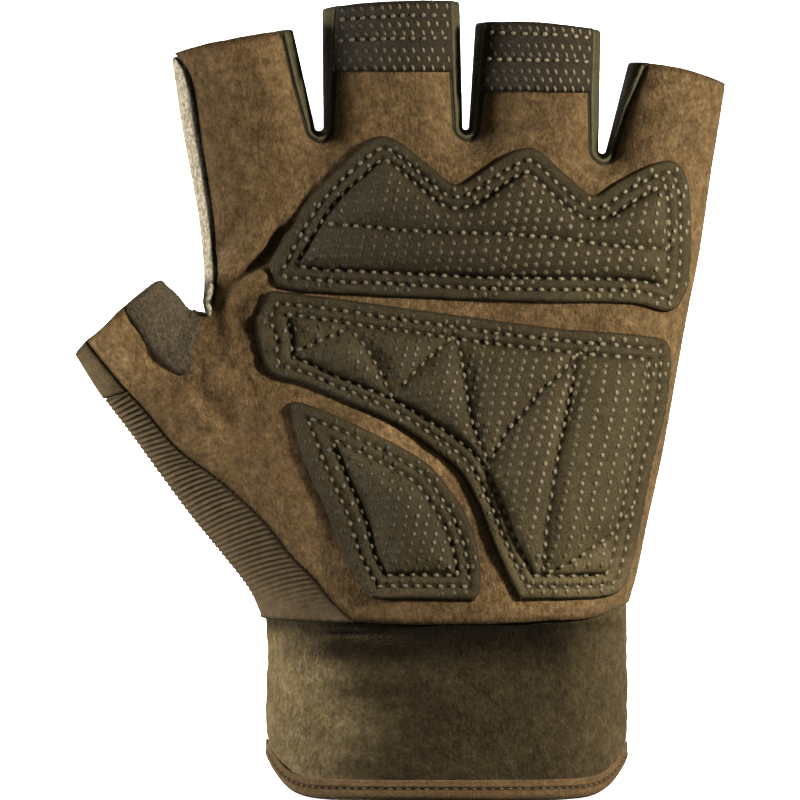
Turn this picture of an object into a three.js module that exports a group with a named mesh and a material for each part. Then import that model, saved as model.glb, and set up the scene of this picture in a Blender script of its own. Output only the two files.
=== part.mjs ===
import * as THREE from "three";

// Fingerless left-hand grip glove, millimetres. Palm towards -Y, thumb towards -X, fingers towards +Z.
// The outline is given flat (x, z); the body is rounded from it, and each piece is a wall on that body.

// wall thicknesses and spaces
const SUEDE_THICK = 1.3;
const BACK_THICK = 1.2;
const STRIP_THICK = 1.0;
const RIB_THICK = 1.5;
const PATCH_THICK = 1.0;
const BAND_THICK = 1.1;
const CUFF_THICK = 1.6;
const SEAM_GAP = 0.34;
const REST_GAP = 0.45;

// padded patches
const FLANGE_THICK = 1.2;
const FLANGE_WIDE = 5.6;
const PAD_RISE = 2.6;
const PAD_SLOPE = 4.0;
const PAD_HOLLOW = 0.6;

// body rounding
const FINGER_ROUND = 12;
const THUMB_ROUND = 11.6;
const THUMB_DEEP = 10.8;
const THUMB_FORWARD = 9;
const SIDE_SPLIT = 0.2;

// grid density
const ACROSS = 5;
const LOW_ROWS = 7;
const BEND_ROWS = 3;
const STALL_ROWS = 4;

// body depths by height: towards the palm, towards the back, and the radius of the side edge
const BODY = [
  { z: 0, palm: 21.5, back: 21.5, edge: 37 },
  { z: 37, palm: 21.5, back: 21.5, edge: 37 },
  { z: 50, palm: 20, back: 19, edge: 29 },
  { z: 64, palm: 18, back: 16, edge: 23 },
  { z: 80, palm: 15.6, back: 14.2, edge: 18.5 },
  { z: 100, palm: 14.2, back: 13, edge: 16 },
  { z: 116, palm: 13.8, back: 12.6, edge: 14.5 },
  { z: 132, palm: 12.4, back: 12, edge: 12.5 },
  { z: 150, palm: 11.2, back: 11.2, edge: 12 },
  { z: 172, palm: 10.6, back: 10.8, edge: 12 },
];

// outline of the little-finger side, from the cuff to past the tip
const RIGHT_SIDE = [
  { x: 37.0, z: 5 },
  { x: 37.6, z: 20 },
  { x: 37.8, z: 34 },
  { x: 38.3, z: 40 },
  { x: 40.0, z: 46 },
  { x: 42.5, z: 58 },
  { x: 45.6, z: 72 },
  { x: 48.8, z: 90 },
  { x: 50.9, z: 101.5 },
  { x: 53.2, z: 113 },
  { x: 55.8, z: 131 },
  { x: 58.3, z: 147 },
  { x: 61.5, z: 170 },
];

// outline from the cuff up the outer side of the thumb and past its tip
const THUMB_SIDE = [
  { x: -36.8, z: 5 },
  { x: -37.2, z: 20 },
  { x: -37.4, z: 31.5 },
  { x: -38.4, z: 37.3 },
  { x: -41.0, z: 43.1 },
  { x: -45.4, z: 49.0 },
  { x: -52.5, z: 57.7 },
  { x: -59.0, z: 66.5 },
  { x: -65.2, z: 75.2 },
  { x: -71.7, z: 84.0 },
  { x: -76.9, z: 92.3 },
  { x: -88.0, z: 110.0 },
];

// outline from past the thumb tip along the web and up the outer side of the index finger
const WEB_SIDE = [
  { x: -78.0, z: 124.0 },
  { x: -68.0, z: 115.0 },
  { x: -60.3, z: 107.3 },
  { x: -56.2, z: 103.8 },
  { x: -52.9, z: 101.8 },
  { x: -50.3, z: 102.2 },
  { x: -49.9, z: 106.0 },
  { x: -50.3, z: 112.0 },
  { x: -51.4, z: 121.0 },
  { x: -53.0, z: 130.0 },
  { x: -54.8, z: 139.5 },
  { x: -56.9, z: 154.2 },
  { x: -58.6, z: 170.0 },
];

// slots between the fingers: round bottom (low) and growing radius up to the far end (high)
const SLOTS = [
  { name: "index_middle", xLow: -26.25, zLow: 139.6, rLow: 0.85, xHigh: -29.2, zHigh: 165, rHigh: 3.6 },
  { name: "middle_ring", xLow: 4.27, zLow: 139.6, rLow: 0.6, xHigh: 4.85, zHigh: 170, rHigh: 1.95 },
  { name: "ring_little", xLow: 32.7, zLow: 134.8, rLow: 0.75, xHigh: 36.6, zHigh: 164, rHigh: 4.2 },
];

// how far the palm-side seams lie from each slot: at its bottom, at the left and at the right fingertip
const SLOT_SEAMS = [
  { bottom: 2.75, leftTip: 2.5, rightTip: 3.5 },
  { bottom: 2.5, leftTip: 2.5, rightTip: 2.7 },
  { bottom: 3.0, leftTip: 2.1, rightTip: 4.0 },
];

// finger openings: middle point, half width and lean in degrees to the left
const TIPS = [
  { name: "index", x: -44.4, z: 157.1, half: 12.75, lean: 11.3 },
  { name: "middle", x: -11.1, z: 165.1, half: 14.3, lean: 2.9 },
  { name: "ring", x: 19.7, z: 160.6, half: 13.25, lean: -3.6 },
  { name: "little", x: 48.1, z: 150.7, half: 10.4, lean: -12 },
];
const TIP_BOW = 0.8;

// seam between the suede and the ribbed panel, from the cuff to the thumb tip
const RIB_SEAM = [
  { x: -19.2, z: 36.9 },
  { x: -23.3, z: 40.8 },
  { x: -26.9, z: 45.4 },
  { x: -31.5, z: 50.0 },
  { x: -36.0, z: 55.8 },
  { x: -40.8, z: 60.8 },
  { x: -47.9, z: 66.9 },
  { x: -55.4, z: 72.5 },
  { x: -62.1, z: 80.4 },
  { x: -67.5, z: 86.3 },
  { x: -74.4, z: 94.8 },
];

// lines that part the panels into finger columns: cuff, notch level and slot bottom
const COLUMN_LINES = [
  { cuffX: -19.2, cuffZ: 36.9, midX: -36, midZ: 72 },
  { cuffX: -6, cuffZ: 36.4, midX: -21, midZ: 98 },
  { cuffX: 9, cuffZ: 36.5, midX: 5, midZ: 98 },
  { cuffX: 23, cuffZ: 37.2, midX: 27, midZ: 96 },
  { cuffX: 38.1, cuffZ: 40.4, midX: 50.1, midZ: 97 },
];
const INDEX_SHOULDER = 133;
const LITTLE_SHOULDER = 131;

// soft swells of the filled palm
const SWELLS = [
  { x: -25, z: 67, wide: 15, tall: 17, lift: 3.6 },
  { x: 27, z: 66, wide: 13, tall: 22, lift: 2.4 },
  { x: 4, z: 90, wide: 13, tall: 16, lift: -1.8 },
  { x: 0, z: 121, wide: 40, tall: 8, lift: 0.8 },
];

// main folds: a line from one end to the other, its depth (a ridge is negative) and half width
const FOLDS = [
  { x1: -47.5, z1: 104.0, x2: -35.0, z2: 116.5, deep: 1.9, half: 1.9 },
  { x1: -49.0, z1: 108.0, x2: -38.5, z2: 121.0, deep: -1.2, half: 2.2 },
  { x1: -46.0, z1: 98.0, x2: -36.0, z2: 103.0, deep: 1.0, half: 2.2 },
  { x1: -54.0, z1: 92.0, x2: -44.0, z2: 83.0, deep: 0.9, half: 2.4 },
  { x1: -50.0, z1: 97.5, x2: -40.5, z2: 88.0, deep: -0.9, half: 2.4 },
];

// index side strip: how far its seams lie from the outline, by height
const SIDE_STRIP = [
  { z: 102, wide: 0.6 },
  { z: 113, wide: 1.5 },
  { z: 125, wide: 2.1 },
  { z: 140, wide: 2.5 },
  { z: 152, wide: 2.4 },
  { z: 160, wide: 1.4 },
];
const BACK_STRIP_WIDE = 2.6;

// ribbed panel on the back: distance of its seam from the outline
const RIB_BACK_WIDE = 7;
const THUMB_BAND_SHARE = 0.83;

// thumb crotch patch: edge on the web and inner edge
const CROTCH_PATCH = [
  { edge: 0.0, x: -65.2, z: 102.6 },
  { edge: 0.14, x: -65.6, z: 100.4 },
  { edge: 0.3, x: -64.4, z: 97.6 },
  { edge: 0.45, x: -61.6, z: 93.4 },
  { edge: 0.6, x: -58.6, z: 91.0 },
  { edge: 0.75, x: -55.6, z: 89.4 },
  { edge: 0.88, x: -53.0, z: 89.7 },
  { edge: 1.0, x: -51.2, z: 93.6 },
];

// pad outlines as two rails that run side by side
const KNUCKLE_PAD = {
  name: "knuckle_pad",
  along: 16,
  railA: [
    { x: -36.3, z: 108.6 },
    { x: -34.0, z: 105.8 },
    { x: -17.5, z: 104.4 },
    { x: 2.1, z: 103.5 },
    { x: 20.4, z: 102.9 },
    { x: 38.7, z: 102.6 },
    { x: 46.2, z: 101.2 },
    { x: 49.4, z: 105.4 },
    { x: 50.4, z: 112.0 },
  ],
  railB: [
    { x: -36.3, z: 110.2 },
    { x: -33.8, z: 115.4 },
    { x: -28.3, z: 124.4 },
    { x: -17.5, z: 135.0 },
    { x: -13.6, z: 137.3 },
    { x: -10.0, z: 136.4 },
    { x: -4.0, z: 131.7 },
    { x: 1.5, z: 127.3 },
    { x: 4.0, z: 127.8 },
    { x: 13.1, z: 133.6 },
    { x: 17.5, z: 134.9 },
    { x: 20.4, z: 133.4 },
    { x: 25.4, z: 128.6 },
    { x: 30.5, z: 124.9 },
    { x: 35.8, z: 127.7 },
    { x: 43.1, z: 131.6 },
    { x: 46.8, z: 132.2 },
    { x: 49.2, z: 129.8 },
    { x: 50.3, z: 124.4 },
    { x: 50.5, z: 116.0 },
  ],
};
const PALM_PAD = {
  name: "palm_pad",
  along: 17,
  railA: [
    { x: -39.8, z: 98.2 },
    { x: -36.9, z: 88.7 },
    { x: -29.2, z: 85.7 },
    { x: -20.2, z: 81.9 },
    { x: -11.0, z: 77.7 },
    { x: -4.4, z: 73.3 },
    { x: 2.6, z: 67.6 },
    { x: 6.7, z: 60.4 },
    { x: 9.6, z: 53.1 },
    { x: 12.7, z: 46.0 },
    { x: 14.8, z: 41.6 },
  ],
  railB: [
    { x: -39.6, z: 99.8 },
    { x: -36.4, z: 104.9 },
    { x: -33.2, z: 105.0 },
    { x: -15.6, z: 102.7 },
    { x: 6.9, z: 99.6 },
    { x: 25.0, z: 97.3 },
    { x: 44.2, z: 95.5 },
    { x: 46.2, z: 93.2 },
    { x: 45.2, z: 81.0 },
    { x: 42.3, z: 69.2 },
    { x: 40.0, z: 57.6 },
    { x: 37.6, z: 47.0 },
    { x: 35.2, z: 43.0 },
    { x: 30.6, z: 41.8 },
  ],
};
const HEEL_PAD = {
  name: "heel_pad",
  along: 10,
  railA: [
    { x: -32.3, z: 81.6 },
    { x: -29.2, z: 70.2 },
    { x: -24.6, z: 59.8 },
    { x: -20.2, z: 49.4 },
    { x: -15.2, z: 41.7 },
  ],
  railB: [
    { x: -31.6, z: 82.3 },
    { x: -29.6, z: 82.0 },
    { x: -22.3, z: 79.2 },
    { x: -15.6, z: 76.0 },
    { x: -8.8, z: 72.5 },
    { x: -3.3, z: 69.0 },
    { x: 0.6, z: 64.4 },
    { x: 4.2, z: 59.0 },
    { x: 6.5, z: 52.7 },
    { x: 7.3, z: 44.4 },
    { x: 6.0, z: 41.3 },
  ],
};

// dark bands at two fingertips: finger number and lower edge
const TIP_BANDS = [
  { name: "tip_band_middle", finger: 1, low: 151.8 },
  { name: "tip_band_ring", finger: 2, low: 147.2 },
];

// cuff tube: height share, radius change and wall place; the top is tucked under the suede edge
const CUFF_HALF_WIDE = 37.8;
const CUFF_HALF_DEEP = 21.3;
const CUFF_TOP = 40.2;
const CUFF_LOW = 1.6;
const CUFF_TUCK = 2.7;
const HEM_RISE = 6.6;
const HEM_TALL = 4.4;
const CUFF_STEPS = 40;
const CUFF_WRINKLES = [
  { turn: -112, z: 35.4, tall: 1.2, spread: 16, deep: 0.9 },
  { turn: -96, z: 22, tall: 12, spread: 5, deep: 0.5 },
  { turn: -140, z: 20, tall: 6, spread: 10, deep: 0.6 },
];

// smooth curve through the rows of a table
function curveAt(keys, values, at) {
  const last = keys.length - 1;
  let i = 0;
  while (i < last - 1 && at > keys[i + 1]) i += 1;
  const slope = (k) => {
    const a = Math.max(k - 1, 0);
    const b = Math.min(k + 1, last);
    return (values[b] - values[a]) / (keys[b] - keys[a]);
  };
  const span = keys[i + 1] - keys[i];
  const t = Math.min(Math.max((at - keys[i]) / span, 0), 1);
  const s = 1 - t;
  return (
    s * s * (1 + 2 * t) * values[i] +
    t * t * (3 - 2 * t) * values[i + 1] +
    s * s * t * span * slope(i) -
    s * t * t * span * slope(i + 1)
  );
}

function column(rows, name) {
  return rows.map((row) => row[name]);
}

// line through table rows, walked by share of its length
function tracer(rows) {
  const steps = [0];
  for (let i = 1; i < rows.length; i += 1) {
    steps.push(steps[i - 1] + Math.hypot(rows[i].x - rows[i - 1].x, rows[i].z - rows[i - 1].z));
  }
  const total = steps[steps.length - 1];
  const keys = steps.map((step) => step / total);
  const xs = column(rows, "x");
  const zs = column(rows, "z");
  return (share) => ({ x: curveAt(keys, xs, share), z: curveAt(keys, zs, share) });
}

function sampled(rows, count) {
  const trace = tracer(rows);
  return Array.from({ length: count + 1 }, (unused, i) => trace(i / count));
}

function distanceTo(line, x, z) {
  let best = Infinity;
  for (let i = 1; i < line.length; i += 1) {
    const a = line[i - 1];
    const b = line[i];
    const dx = b.x - a.x;
    const dz = b.z - a.z;
    const raw = ((x - a.x) * dx + (z - a.z) * dz) / (dx * dx + dz * dz);
    const t = Math.min(Math.max(raw, 0), 1);
    best = Math.min(best, Math.hypot(x - a.x - t * dx, z - a.z - t * dz));
  }
  return best;
}

function smooth(low, high, value) {
  const t = Math.min(Math.max((value - low) / (high - low), 0), 1);
  return t * t * (3 - 2 * t);
}

function mix(a, b, share) {
  return a + (b - a) * share;
}

const rightLine = sampled(RIGHT_SIDE, 60);
const thumbLine = sampled(THUMB_SIDE, 60);
const webLine = sampled(WEB_SIDE, 80);
const bodyZ = column(BODY, "z");

function slotDistance(slot, x, z) {
  const dx = slot.xHigh - slot.xLow;
  const dz = slot.zHigh - slot.zLow;
  const raw = ((x - slot.xLow) * dx + (z - slot.zLow) * dz) / (dx * dx + dz * dz);
  const t = Math.max(raw, 0);
  const radius = mix(slot.rLow, slot.rHigh, t);
  return Math.max(Math.hypot(x - slot.xLow - t * dx, z - slot.zLow - t * dz) - radius, 0);
}

// quarter-round section: 0 on the outline, 1 further in than the radius
function rounding(distance, radius) {
  const rest = 1 - Math.min(distance / radius, 1);
  return Math.sqrt(Math.max(1 - rest * rest, 0));
}

// 1 at the thumb, fading to 0 in the palm and the index finger
const THUMB_TIP = { x: -68.35, z: 100.3 };
const THUMB_DIR = { x: 0.684, z: -0.731 };
function thumbShare(x, z) {
  const inward = (x - THUMB_TIP.x) * THUMB_DIR.x + (z - THUMB_TIP.z) * THUMB_DIR.z;
  const sideways = -(x - THUMB_TIP.x) * THUMB_DIR.z + (z - THUMB_TIP.z) * THUMB_DIR.x;
  return (1 - smooth(2, 46, inward)) * (1 - smooth(11, 30, sideways));
}

function foldDepth(x, z) {
  let deep = 0;
  for (const fold of FOLDS) {
    const line = [{ x: fold.x1, z: fold.z1 }, { x: fold.x2, z: fold.z2 }];
    const away = distanceTo(line, x, z) / fold.half;
    deep += fold.deep * Math.exp(-away * away);
  }
  return deep;
}

// y of the palm face (side -1) or of the back (side 1) over a flat point
function bodyY(x, z, side) {
  const lift = thumbShare(x, z);
  const edge = mix(curveAt(bodyZ, column(BODY, "edge"), z), THUMB_ROUND, lift);
  let round = rounding(distanceTo(rightLine, x, z), edge);
  round *= rounding(distanceTo(thumbLine, x, z), edge);
  round *= rounding(distanceTo(webLine, x, z), Math.min(edge, 14));
  for (const slot of SLOTS) round *= rounding(slotDistance(slot, x, z), FINGER_ROUND);
  const name = side < 0 ? "palm" : "back";
  let deep = mix(curveAt(bodyZ, column(BODY, name), z), THUMB_DEEP, lift);
  deep *= 1 - 0.13 * smooth(34, 50, x) * smooth(110, 135, z);
  if (side < 0) {
    for (const swell of SWELLS) {
      const across = (x - swell.x) / swell.wide;
      const up = (z - swell.z) / swell.tall;
      deep += swell.lift * Math.exp(-(across * across + up * up) / 2) * (1 - lift);
    }
    deep -= foldDepth(x, z);
  }
  const curl = -0.0016 * Math.max(z - 110, 0) ** 2 * (1 - lift);
  const centre = curl - THUMB_FORWARD * lift;
  return centre + side * (SIDE_SPLIT + (deep - SIDE_SPLIT) * round);
}

function onBody(point, side) {
  return new THREE.Vector3(point.x, bodyY(point.x, point.z, side), point.z);
}

// unit direction that points out of the body over a flat point
function bodyNormal(x, z, side) {
  const step = 0.25;
  const slopeX = (bodyY(x + step, z, side) - bodyY(x - step, z, side)) / (2 * step);
  const slopeZ = (bodyY(x, z + step, side) - bodyY(x, z - step, side)) / (2 * step);
  return new THREE.Vector3(-side * slopeX, side, -side * slopeZ).normalize();
}

// height of a finger opening's edge line at x
function tipHeight(tip, x) {
  const off = x - tip.x;
  const bow = TIP_BOW * (1 - (off / tip.half) ** 2);
  return tip.z + off * Math.tan(THREE.MathUtils.degToRad(tip.lean)) + Math.max(bow, -0.3);
}

// point at a distance from a slot, walked from the left fingertip (0) round its bottom (0.5) to the right (1)
function aroundSlot(index, share, distance) {
  const slot = SLOTS[index];
  const bend = 0.12;
  const length = Math.hypot(slot.xHigh - slot.xLow, slot.zHigh - slot.zLow);
  const dir = { x: (slot.xHigh - slot.xLow) / length, z: (slot.zHigh - slot.zLow) / length };
  const hand = share < 0.5 ? -1 : 1;
  const from = Math.abs(share - 0.5);
  const reach = slot.rLow + distance;
  if (from <= bend) {
    const turn = (from / bend) * (Math.PI / 2);
    const side = hand * Math.sin(turn) * reach;
    const down = Math.cos(turn) * reach;
    return { x: slot.xLow + dir.z * side - dir.x * down, z: slot.zLow - dir.x * side - dir.z * down };
  }
  const tip = TIPS[hand < 0 ? index : index + 1];
  const walk = (t) => {
    const radius = mix(slot.rLow, slot.rHigh, t / length) + distance;
    return {
      x: slot.xLow + dir.x * t + hand * dir.z * radius,
      z: slot.zLow + dir.z * t - hand * dir.x * radius,
    };
  };
  let top = length * 0.7;
  for (let k = 0; k < 8; k += 1) {
    const point = walk(top);
    top += (tipHeight(tip, point.x) - point.z) / dir.z;
  }
  return walk((top * (from - bend)) / (0.5 - bend));
}

function seamAt(index, share, change) {
  const seam = SLOT_SEAMS[index];
  const from = Math.min(Math.abs(share - 0.5) / 0.5, 1);
  return mix(seam.bottom, share < 0.5 ? seam.leftTip : seam.rightTip, from) + change;
}

// point on an outline at a height, moved inwards by a distance
function outlineAt(line, z, inward, hand) {
  let i = 1;
  while (i < line.length - 1 && line[i].z < z) i += 1;
  const a = line[i - 1];
  const b = line[i];
  const t = (z - a.z) / (b.z - a.z);
  const length = Math.hypot(b.x - a.x, b.z - a.z);
  return {
    x: mix(a.x, b.x, t) + (hand * inward * (b.z - a.z)) / length,
    z: z - (hand * inward * (b.x - a.x)) / length,
  };
}

const notchStart = webLine.findIndex((point) => point.x > -51.6 && point.z < 104);
const indexLine = webLine.slice(notchStart);
const NOTCH_Z = indexLine[0].z;

function stripWide(z, side) {
  const wide = curveAt(column(SIDE_STRIP, "z"), column(SIDE_STRIP, "wide"), z);
  return side < 0 ? wide : Math.min(BACK_STRIP_WIDE, wide * 1.2);
}

// outer edge of the index column at a height, inside the side strip's seam
function indexEdge(z, side, change) {
  return outlineAt(indexLine, Math.max(z, NOTCH_Z + 0.05), stripWide(z, side) + change, 1);
}

// shares of the rows between the notch level and the slot bottoms
const HIGH_SHARES = [0.09, 0.3, 0.53, 0.76, 1];
// shares of the rows along the thumb, from its root to its opening
const SEAM_SHARES = [0, 0.06, 0.13, 0.22, 0.33, 0.45, 0.58, 0.71, 0.83, 0.915, 1];
const fingerShares = [];
for (let i = 1; i <= BEND_ROWS; i += 1) fingerShares.push(0.12 * (i / BEND_ROWS));
for (let i = 1; i <= STALL_ROWS; i += 1) fingerShares.push(0.12 + (0.38 * i) / STALL_ROWS);

// rows of flat points up one column line, from the cuff to the fingertip
function lineRows(line, hand, side) {
  const half = SEAM_GAP / 2;
  const rows = [];
  const own = COLUMN_LINES[line];
  const inner = line > 0 && line < 4;
  let bottom;
  if (inner) bottom = aroundSlot(line - 1, 0.5, SLOT_SEAMS[line - 1].bottom + half * 0.7);
  if (line === 0) {
    const start = indexEdge(NOTCH_Z + 0.4, side, half * 0.7);
    const cuff = side < 0 ? { x: own.cuffX, z: own.cuffZ } : backCuffCorner();
    const bowed = tracer([
      cuff,
      { x: side < 0 ? own.midX : own.midX - 8, z: own.midZ },
      start,
    ]);
    for (let i = 0; i <= LOW_ROWS; i += 1) rows.push(bowed(i / LOW_ROWS));
    for (const share of HIGH_SHARES) rows.push(indexEdge(mix(NOTCH_Z, INDEX_SHOULDER, share), side, half * 0.7));
    for (const share of fingerShares) {
      let z = mix(INDEX_SHOULDER, 154, share * 2);
      let point = indexEdge(z, side, half * 0.7);
      if (share === fingerShares[fingerShares.length - 1]) {
        for (let k = 0; k < 8; k += 1) {
          z += tipHeight(TIPS[0], point.x) - point.z;
          point = indexEdge(z, side, half * 0.7);
        }
      }
      rows.push(point);
    }
    return rows;
  }
  if (line === 4) {
    const edge = (z) => outlineAt(rightLine, z, 0, -1);
    for (let i = 0; i <= LOW_ROWS; i += 1) rows.push(edge(mix(own.cuffZ, own.midZ, i / LOW_ROWS)));
    for (const share of HIGH_SHARES) rows.push(edge(mix(own.midZ, LITTLE_SHOULDER, share)));
    for (const share of fingerShares) {
      let z = mix(LITTLE_SHOULDER, 148.4, share * 2);
      if (share === fingerShares[fingerShares.length - 1]) {
        for (let k = 0; k < 8; k += 1) z = tipHeight(TIPS[3], edge(z).x);
      }
      rows.push(edge(z));
    }
    return rows;
  }
  const trace = tracer([{ x: own.cuffX, z: own.cuffZ }, { x: own.midX, z: own.midZ }]);
  for (let i = 0; i <= LOW_ROWS; i += 1) rows.push(trace(i / LOW_ROWS));
  for (const share of HIGH_SHARES) {
    rows.push({ x: mix(own.midX, bottom.x, share), z: mix(own.midZ, bottom.z, share) });
  }
  for (const share of fingerShares) {
    const walk = 0.5 + (hand < 0 ? -share : share);
    rows.push(aroundSlot(line - 1, walk, seamAt(line - 1, walk, half * 0.7)));
  }
  return rows;
}

// outline point of the thumb's outer side by share, from the cuff to the tip, moved inwards
const thumbEdge = sampled(THUMB_SIDE.slice(3, 11), 60);
function thumbEdgeAt(share, inward) {
  const at = Math.min(share, 0.9999) * (thumbEdge.length - 1);
  const i = Math.floor(at);
  const a = thumbEdge[i];
  const b = thumbEdge[i + 1];
  const length = Math.hypot(b.x - a.x, b.z - a.z);
  return {
    x: mix(a.x, b.x, at - i) + (inward * (b.z - a.z)) / length,
    z: mix(a.z, b.z, at - i) - (inward * (b.x - a.x)) / length,
  };
}

function backCuffCorner() {
  const point = thumbEdgeAt(0, RIB_BACK_WIDE + SEAM_GAP / 2);
  return { x: point.x, z: 37.4 };
}

function spaced(share) {
  return mix(share, 0.5 - 0.5 * Math.cos(Math.PI * share), 0.75);
}

// edge line of the thumb opening, from the outer corner (0) to the web corner (1)
const THUMB_CORNER = { x: -76.9, z: 92.3 };
const WEB_CORNER = { x: -60.3, z: 107.3 };

// web edge from the notch to the thumb's web corner
const notchPoint = indexLine[0];
const webEdge = [
  ...webLine.slice(0, notchStart).filter((point) => point.x > -60.2).reverse(),
  WEB_CORNER,
];
const webTrace = tracer(webEdge);

// four finger columns and the thumb fan of one face, as flat grids of points
function faceGrids(side) {
  const grids = [];
  for (let finger = 0; finger < 4; finger += 1) {
    const left = lineRows(finger, 1, side);
    const right = lineRows(finger + 1, -1, side);
    grids.push(
      left.map((start, row) => {
        const end = right[row];
        return Array.from({ length: ACROSS + 1 }, (unused, i) => {
          const share = spaced(i / ACROSS);
          const last = row === left.length - 1;
          const x = mix(start.x, end.x, share);
          const z = last && i > 0 && i < ACROSS ? tipHeight(TIPS[finger], x) : mix(start.z, end.z, share);
          return { x, z };
        });
      }),
    );
  }
  const root = lineRows(0, 1, side).slice(0, LOW_ROWS + 1);
  const seamTrace = tracer(RIB_SEAM);
  const fan = [];
  for (const share of SEAM_SHARES) {
    const a = share;
    let outer;
    if (side < 0) {
      const on = seamTrace(share);
      const next = seamTrace(Math.min(share + 0.01, 1));
      const prev = seamTrace(Math.max(share - 0.01, 0));
      const length = Math.hypot(next.x - prev.x, next.z - prev.z);
      const shift = SEAM_GAP / 2;
      outer = {
        x: on.x + (shift * (next.z - prev.z)) / length,
        z: on.z - (shift * (next.x - prev.x)) / length,
      };
    } else {
      outer = thumbEdgeAt(share, RIB_BACK_WIDE + SEAM_GAP / 2);
      if (a === 0) outer = backCuffCorner();
    }
    const web = a === 0 ? root[LOW_ROWS] : webTrace(share);
    fan.push(
      root.map((point, b) => {
        if (a === 0) return point;
        const t = b / LOW_ROWS;
        const x = mix(outer.x, web.x, spaced(t));
        const z = mix(outer.z, web.z, spaced(t));
        const bend = (1 - share) ** 1.5;
        const flat = { x: mix(root[0].x, root[LOW_ROWS].x, spaced(t)), z: mix(root[0].z, root[LOW_ROWS].z, spaced(t)) };
        return { x: x + bend * (point.x - flat.x), z: z + bend * (point.z - flat.z) };
      }),
    );
  }
  grids.push(fan);
  return grids;
}

// outward direction of a wall at a point: level at the side line, else the body's own
function outward(p, faceNormal) {
  if (Math.abs(p.z) < CUFF_TOP && Math.hypot(p.x / CUFF_HALF_WIDE, p.y / CUFF_HALF_DEEP) < 1.002) return faceNormal;
  const front = bodyY(p.x, p.z, -1);
  const rear = bodyY(p.x, p.z, 1);
  if (Math.abs(p.y - front) > 0.02 && Math.abs(p.y - rear) > 0.02) return faceNormal;
  if (rear - front < 3.5) return new THREE.Vector3(faceNormal.x, 0, faceNormal.z).normalize();
  return bodyNormal(p.x, p.z, Math.abs(p.y - front) < 0.02 ? -1 : 1);
}

// welded wall from grids of 3-D points: outer faces, inner faces set in by the thickness, and rims
function wallFrom(grids, thick, flip) {
  const keys = new Map();
  const points = [];
  const faces = [];
  const idOf = (p) => {
    const key = [p.x, p.y, p.z].map((v) => Math.round(v * 500)).join();
    if (!keys.has(key)) {
      keys.set(key, points.length);
      points.push(p.clone());
    }
    return keys.get(key);
  };
  const add = (a, b, c) => {
    if (a === b || b === c || c === a) return;
    faces.push(flip ? [a, c, b] : [a, b, c]);
  };
  for (const grid of grids) {
    const ids = grid.map((row) => row.map(idOf));
    for (let r = 0; r + 1 < ids.length; r += 1) {
      for (let c = 0; c + 1 < ids[r].length; c += 1) {
        const [a, b, d, e] = [ids[r][c], ids[r][c + 1], ids[r + 1][c + 1], ids[r + 1][c]];
        if (points[a].distanceTo(points[d]) <= points[b].distanceTo(points[e])) {
          add(a, b, d);
          add(a, d, e);
        } else {
          add(a, b, e);
          add(b, d, e);
        }
      }
    }
  }
  const normals = points.map(() => new THREE.Vector3());
  for (const [a, b, c] of faces) {
    const n = new THREE.Vector3().subVectors(points[b], points[a]);
    n.cross(new THREE.Vector3().subVectors(points[c], points[a]));
    for (const id of [a, b, c]) normals[id].add(n);
  }
  const count = points.length;
  const inner = points.map((p, i) => p.clone().addScaledVector(outward(p, normals[i].normalize()), -thick));
  const all = [...points, ...inner];
  const edges = new Map();
  const index = [];
  for (const [a, b, c] of faces) {
    index.push(a, b, c, a + count, c + count, b + count);
    for (const [p, q] of [[a, b], [b, c], [c, a]]) edges.set(`${p},${q}`, [p, q]);
  }
  for (const [p, q] of edges.values()) {
    if (edges.has(`${q},${p}`)) continue;
    index.push(q, p, p + count, q, p + count, q + count);
  }
  const geometry = new THREE.BufferGeometry();
  geometry.setAttribute("position", new THREE.Float32BufferAttribute(all.flatMap((p) => [p.x, p.y, p.z]), 3));
  geometry.setIndex(index);
  return geometry;
}

const glove = new THREE.Group();
glove.name = "grip_glove";
function piece(name, geometry, colour, roughness) {
  const flat = geometry.toNonIndexed();
  flat.computeVertexNormals();
  const material = new THREE.MeshStandardMaterial({ color: colour, roughness, metalness: 0 });
  const mesh = new THREE.Mesh(flat, material);
  mesh.name = name;
  glove.add(mesh);
}

// suede palm and plain back
const palmGrids = faceGrids(-1).map((grid) => grid.map((row) => row.map((p) => onBody(p, -1))));
piece("palm_panel", wallFrom(palmGrids, SUEDE_THICK, false), "#6f5a3c", 0.95);
const backGrids = faceGrids(1).map((grid) => grid.map((row) => row.map((p) => onBody(p, 1))));
piece("back_panel", wallFrom(backGrids, BACK_THICK, true), "#66523a", 0.95);

// strip that runs round a slot, from the palm seam over the side to the back seam
function slotStrip(index) {
  const rows = [];
  const leftShares = [...fingerShares].reverse().map((share) => 0.5 - share);
  const rightShares = fingerShares.map((share) => 0.5 + share);
  for (const share of [...leftShares, 0.5, ...rightShares]) {
    const reach = seamAt(index, share, -SEAM_GAP / 2 * 0.7);
    const open = Math.acos(1 - reach / FINGER_ROUND);
    const row = [];
    for (let q = -2; q <= 2; q += 1) {
      const angle = (Math.abs(q) / 2) * open;
      const point = aroundSlot(index, share, FINGER_ROUND * (1 - Math.cos(angle)));
      if (q === 0) {
        const front = bodyY(point.x, point.z, -1);
        const rear = bodyY(point.x, point.z, 1);
        row.push(new THREE.Vector3(point.x, (front + rear) / 2, point.z));
      } else {
        row.push(onBody(point, Math.sign(q)));
      }
    }
    rows.push(row);
  }
  return wallFrom([rows], STRIP_THICK, true);
}
for (let index = 0; index < 3; index += 1) {
  piece(`fourchette_${SLOTS[index].name}`, slotStrip(index), "#4c4730", 0.9);
}

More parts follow.
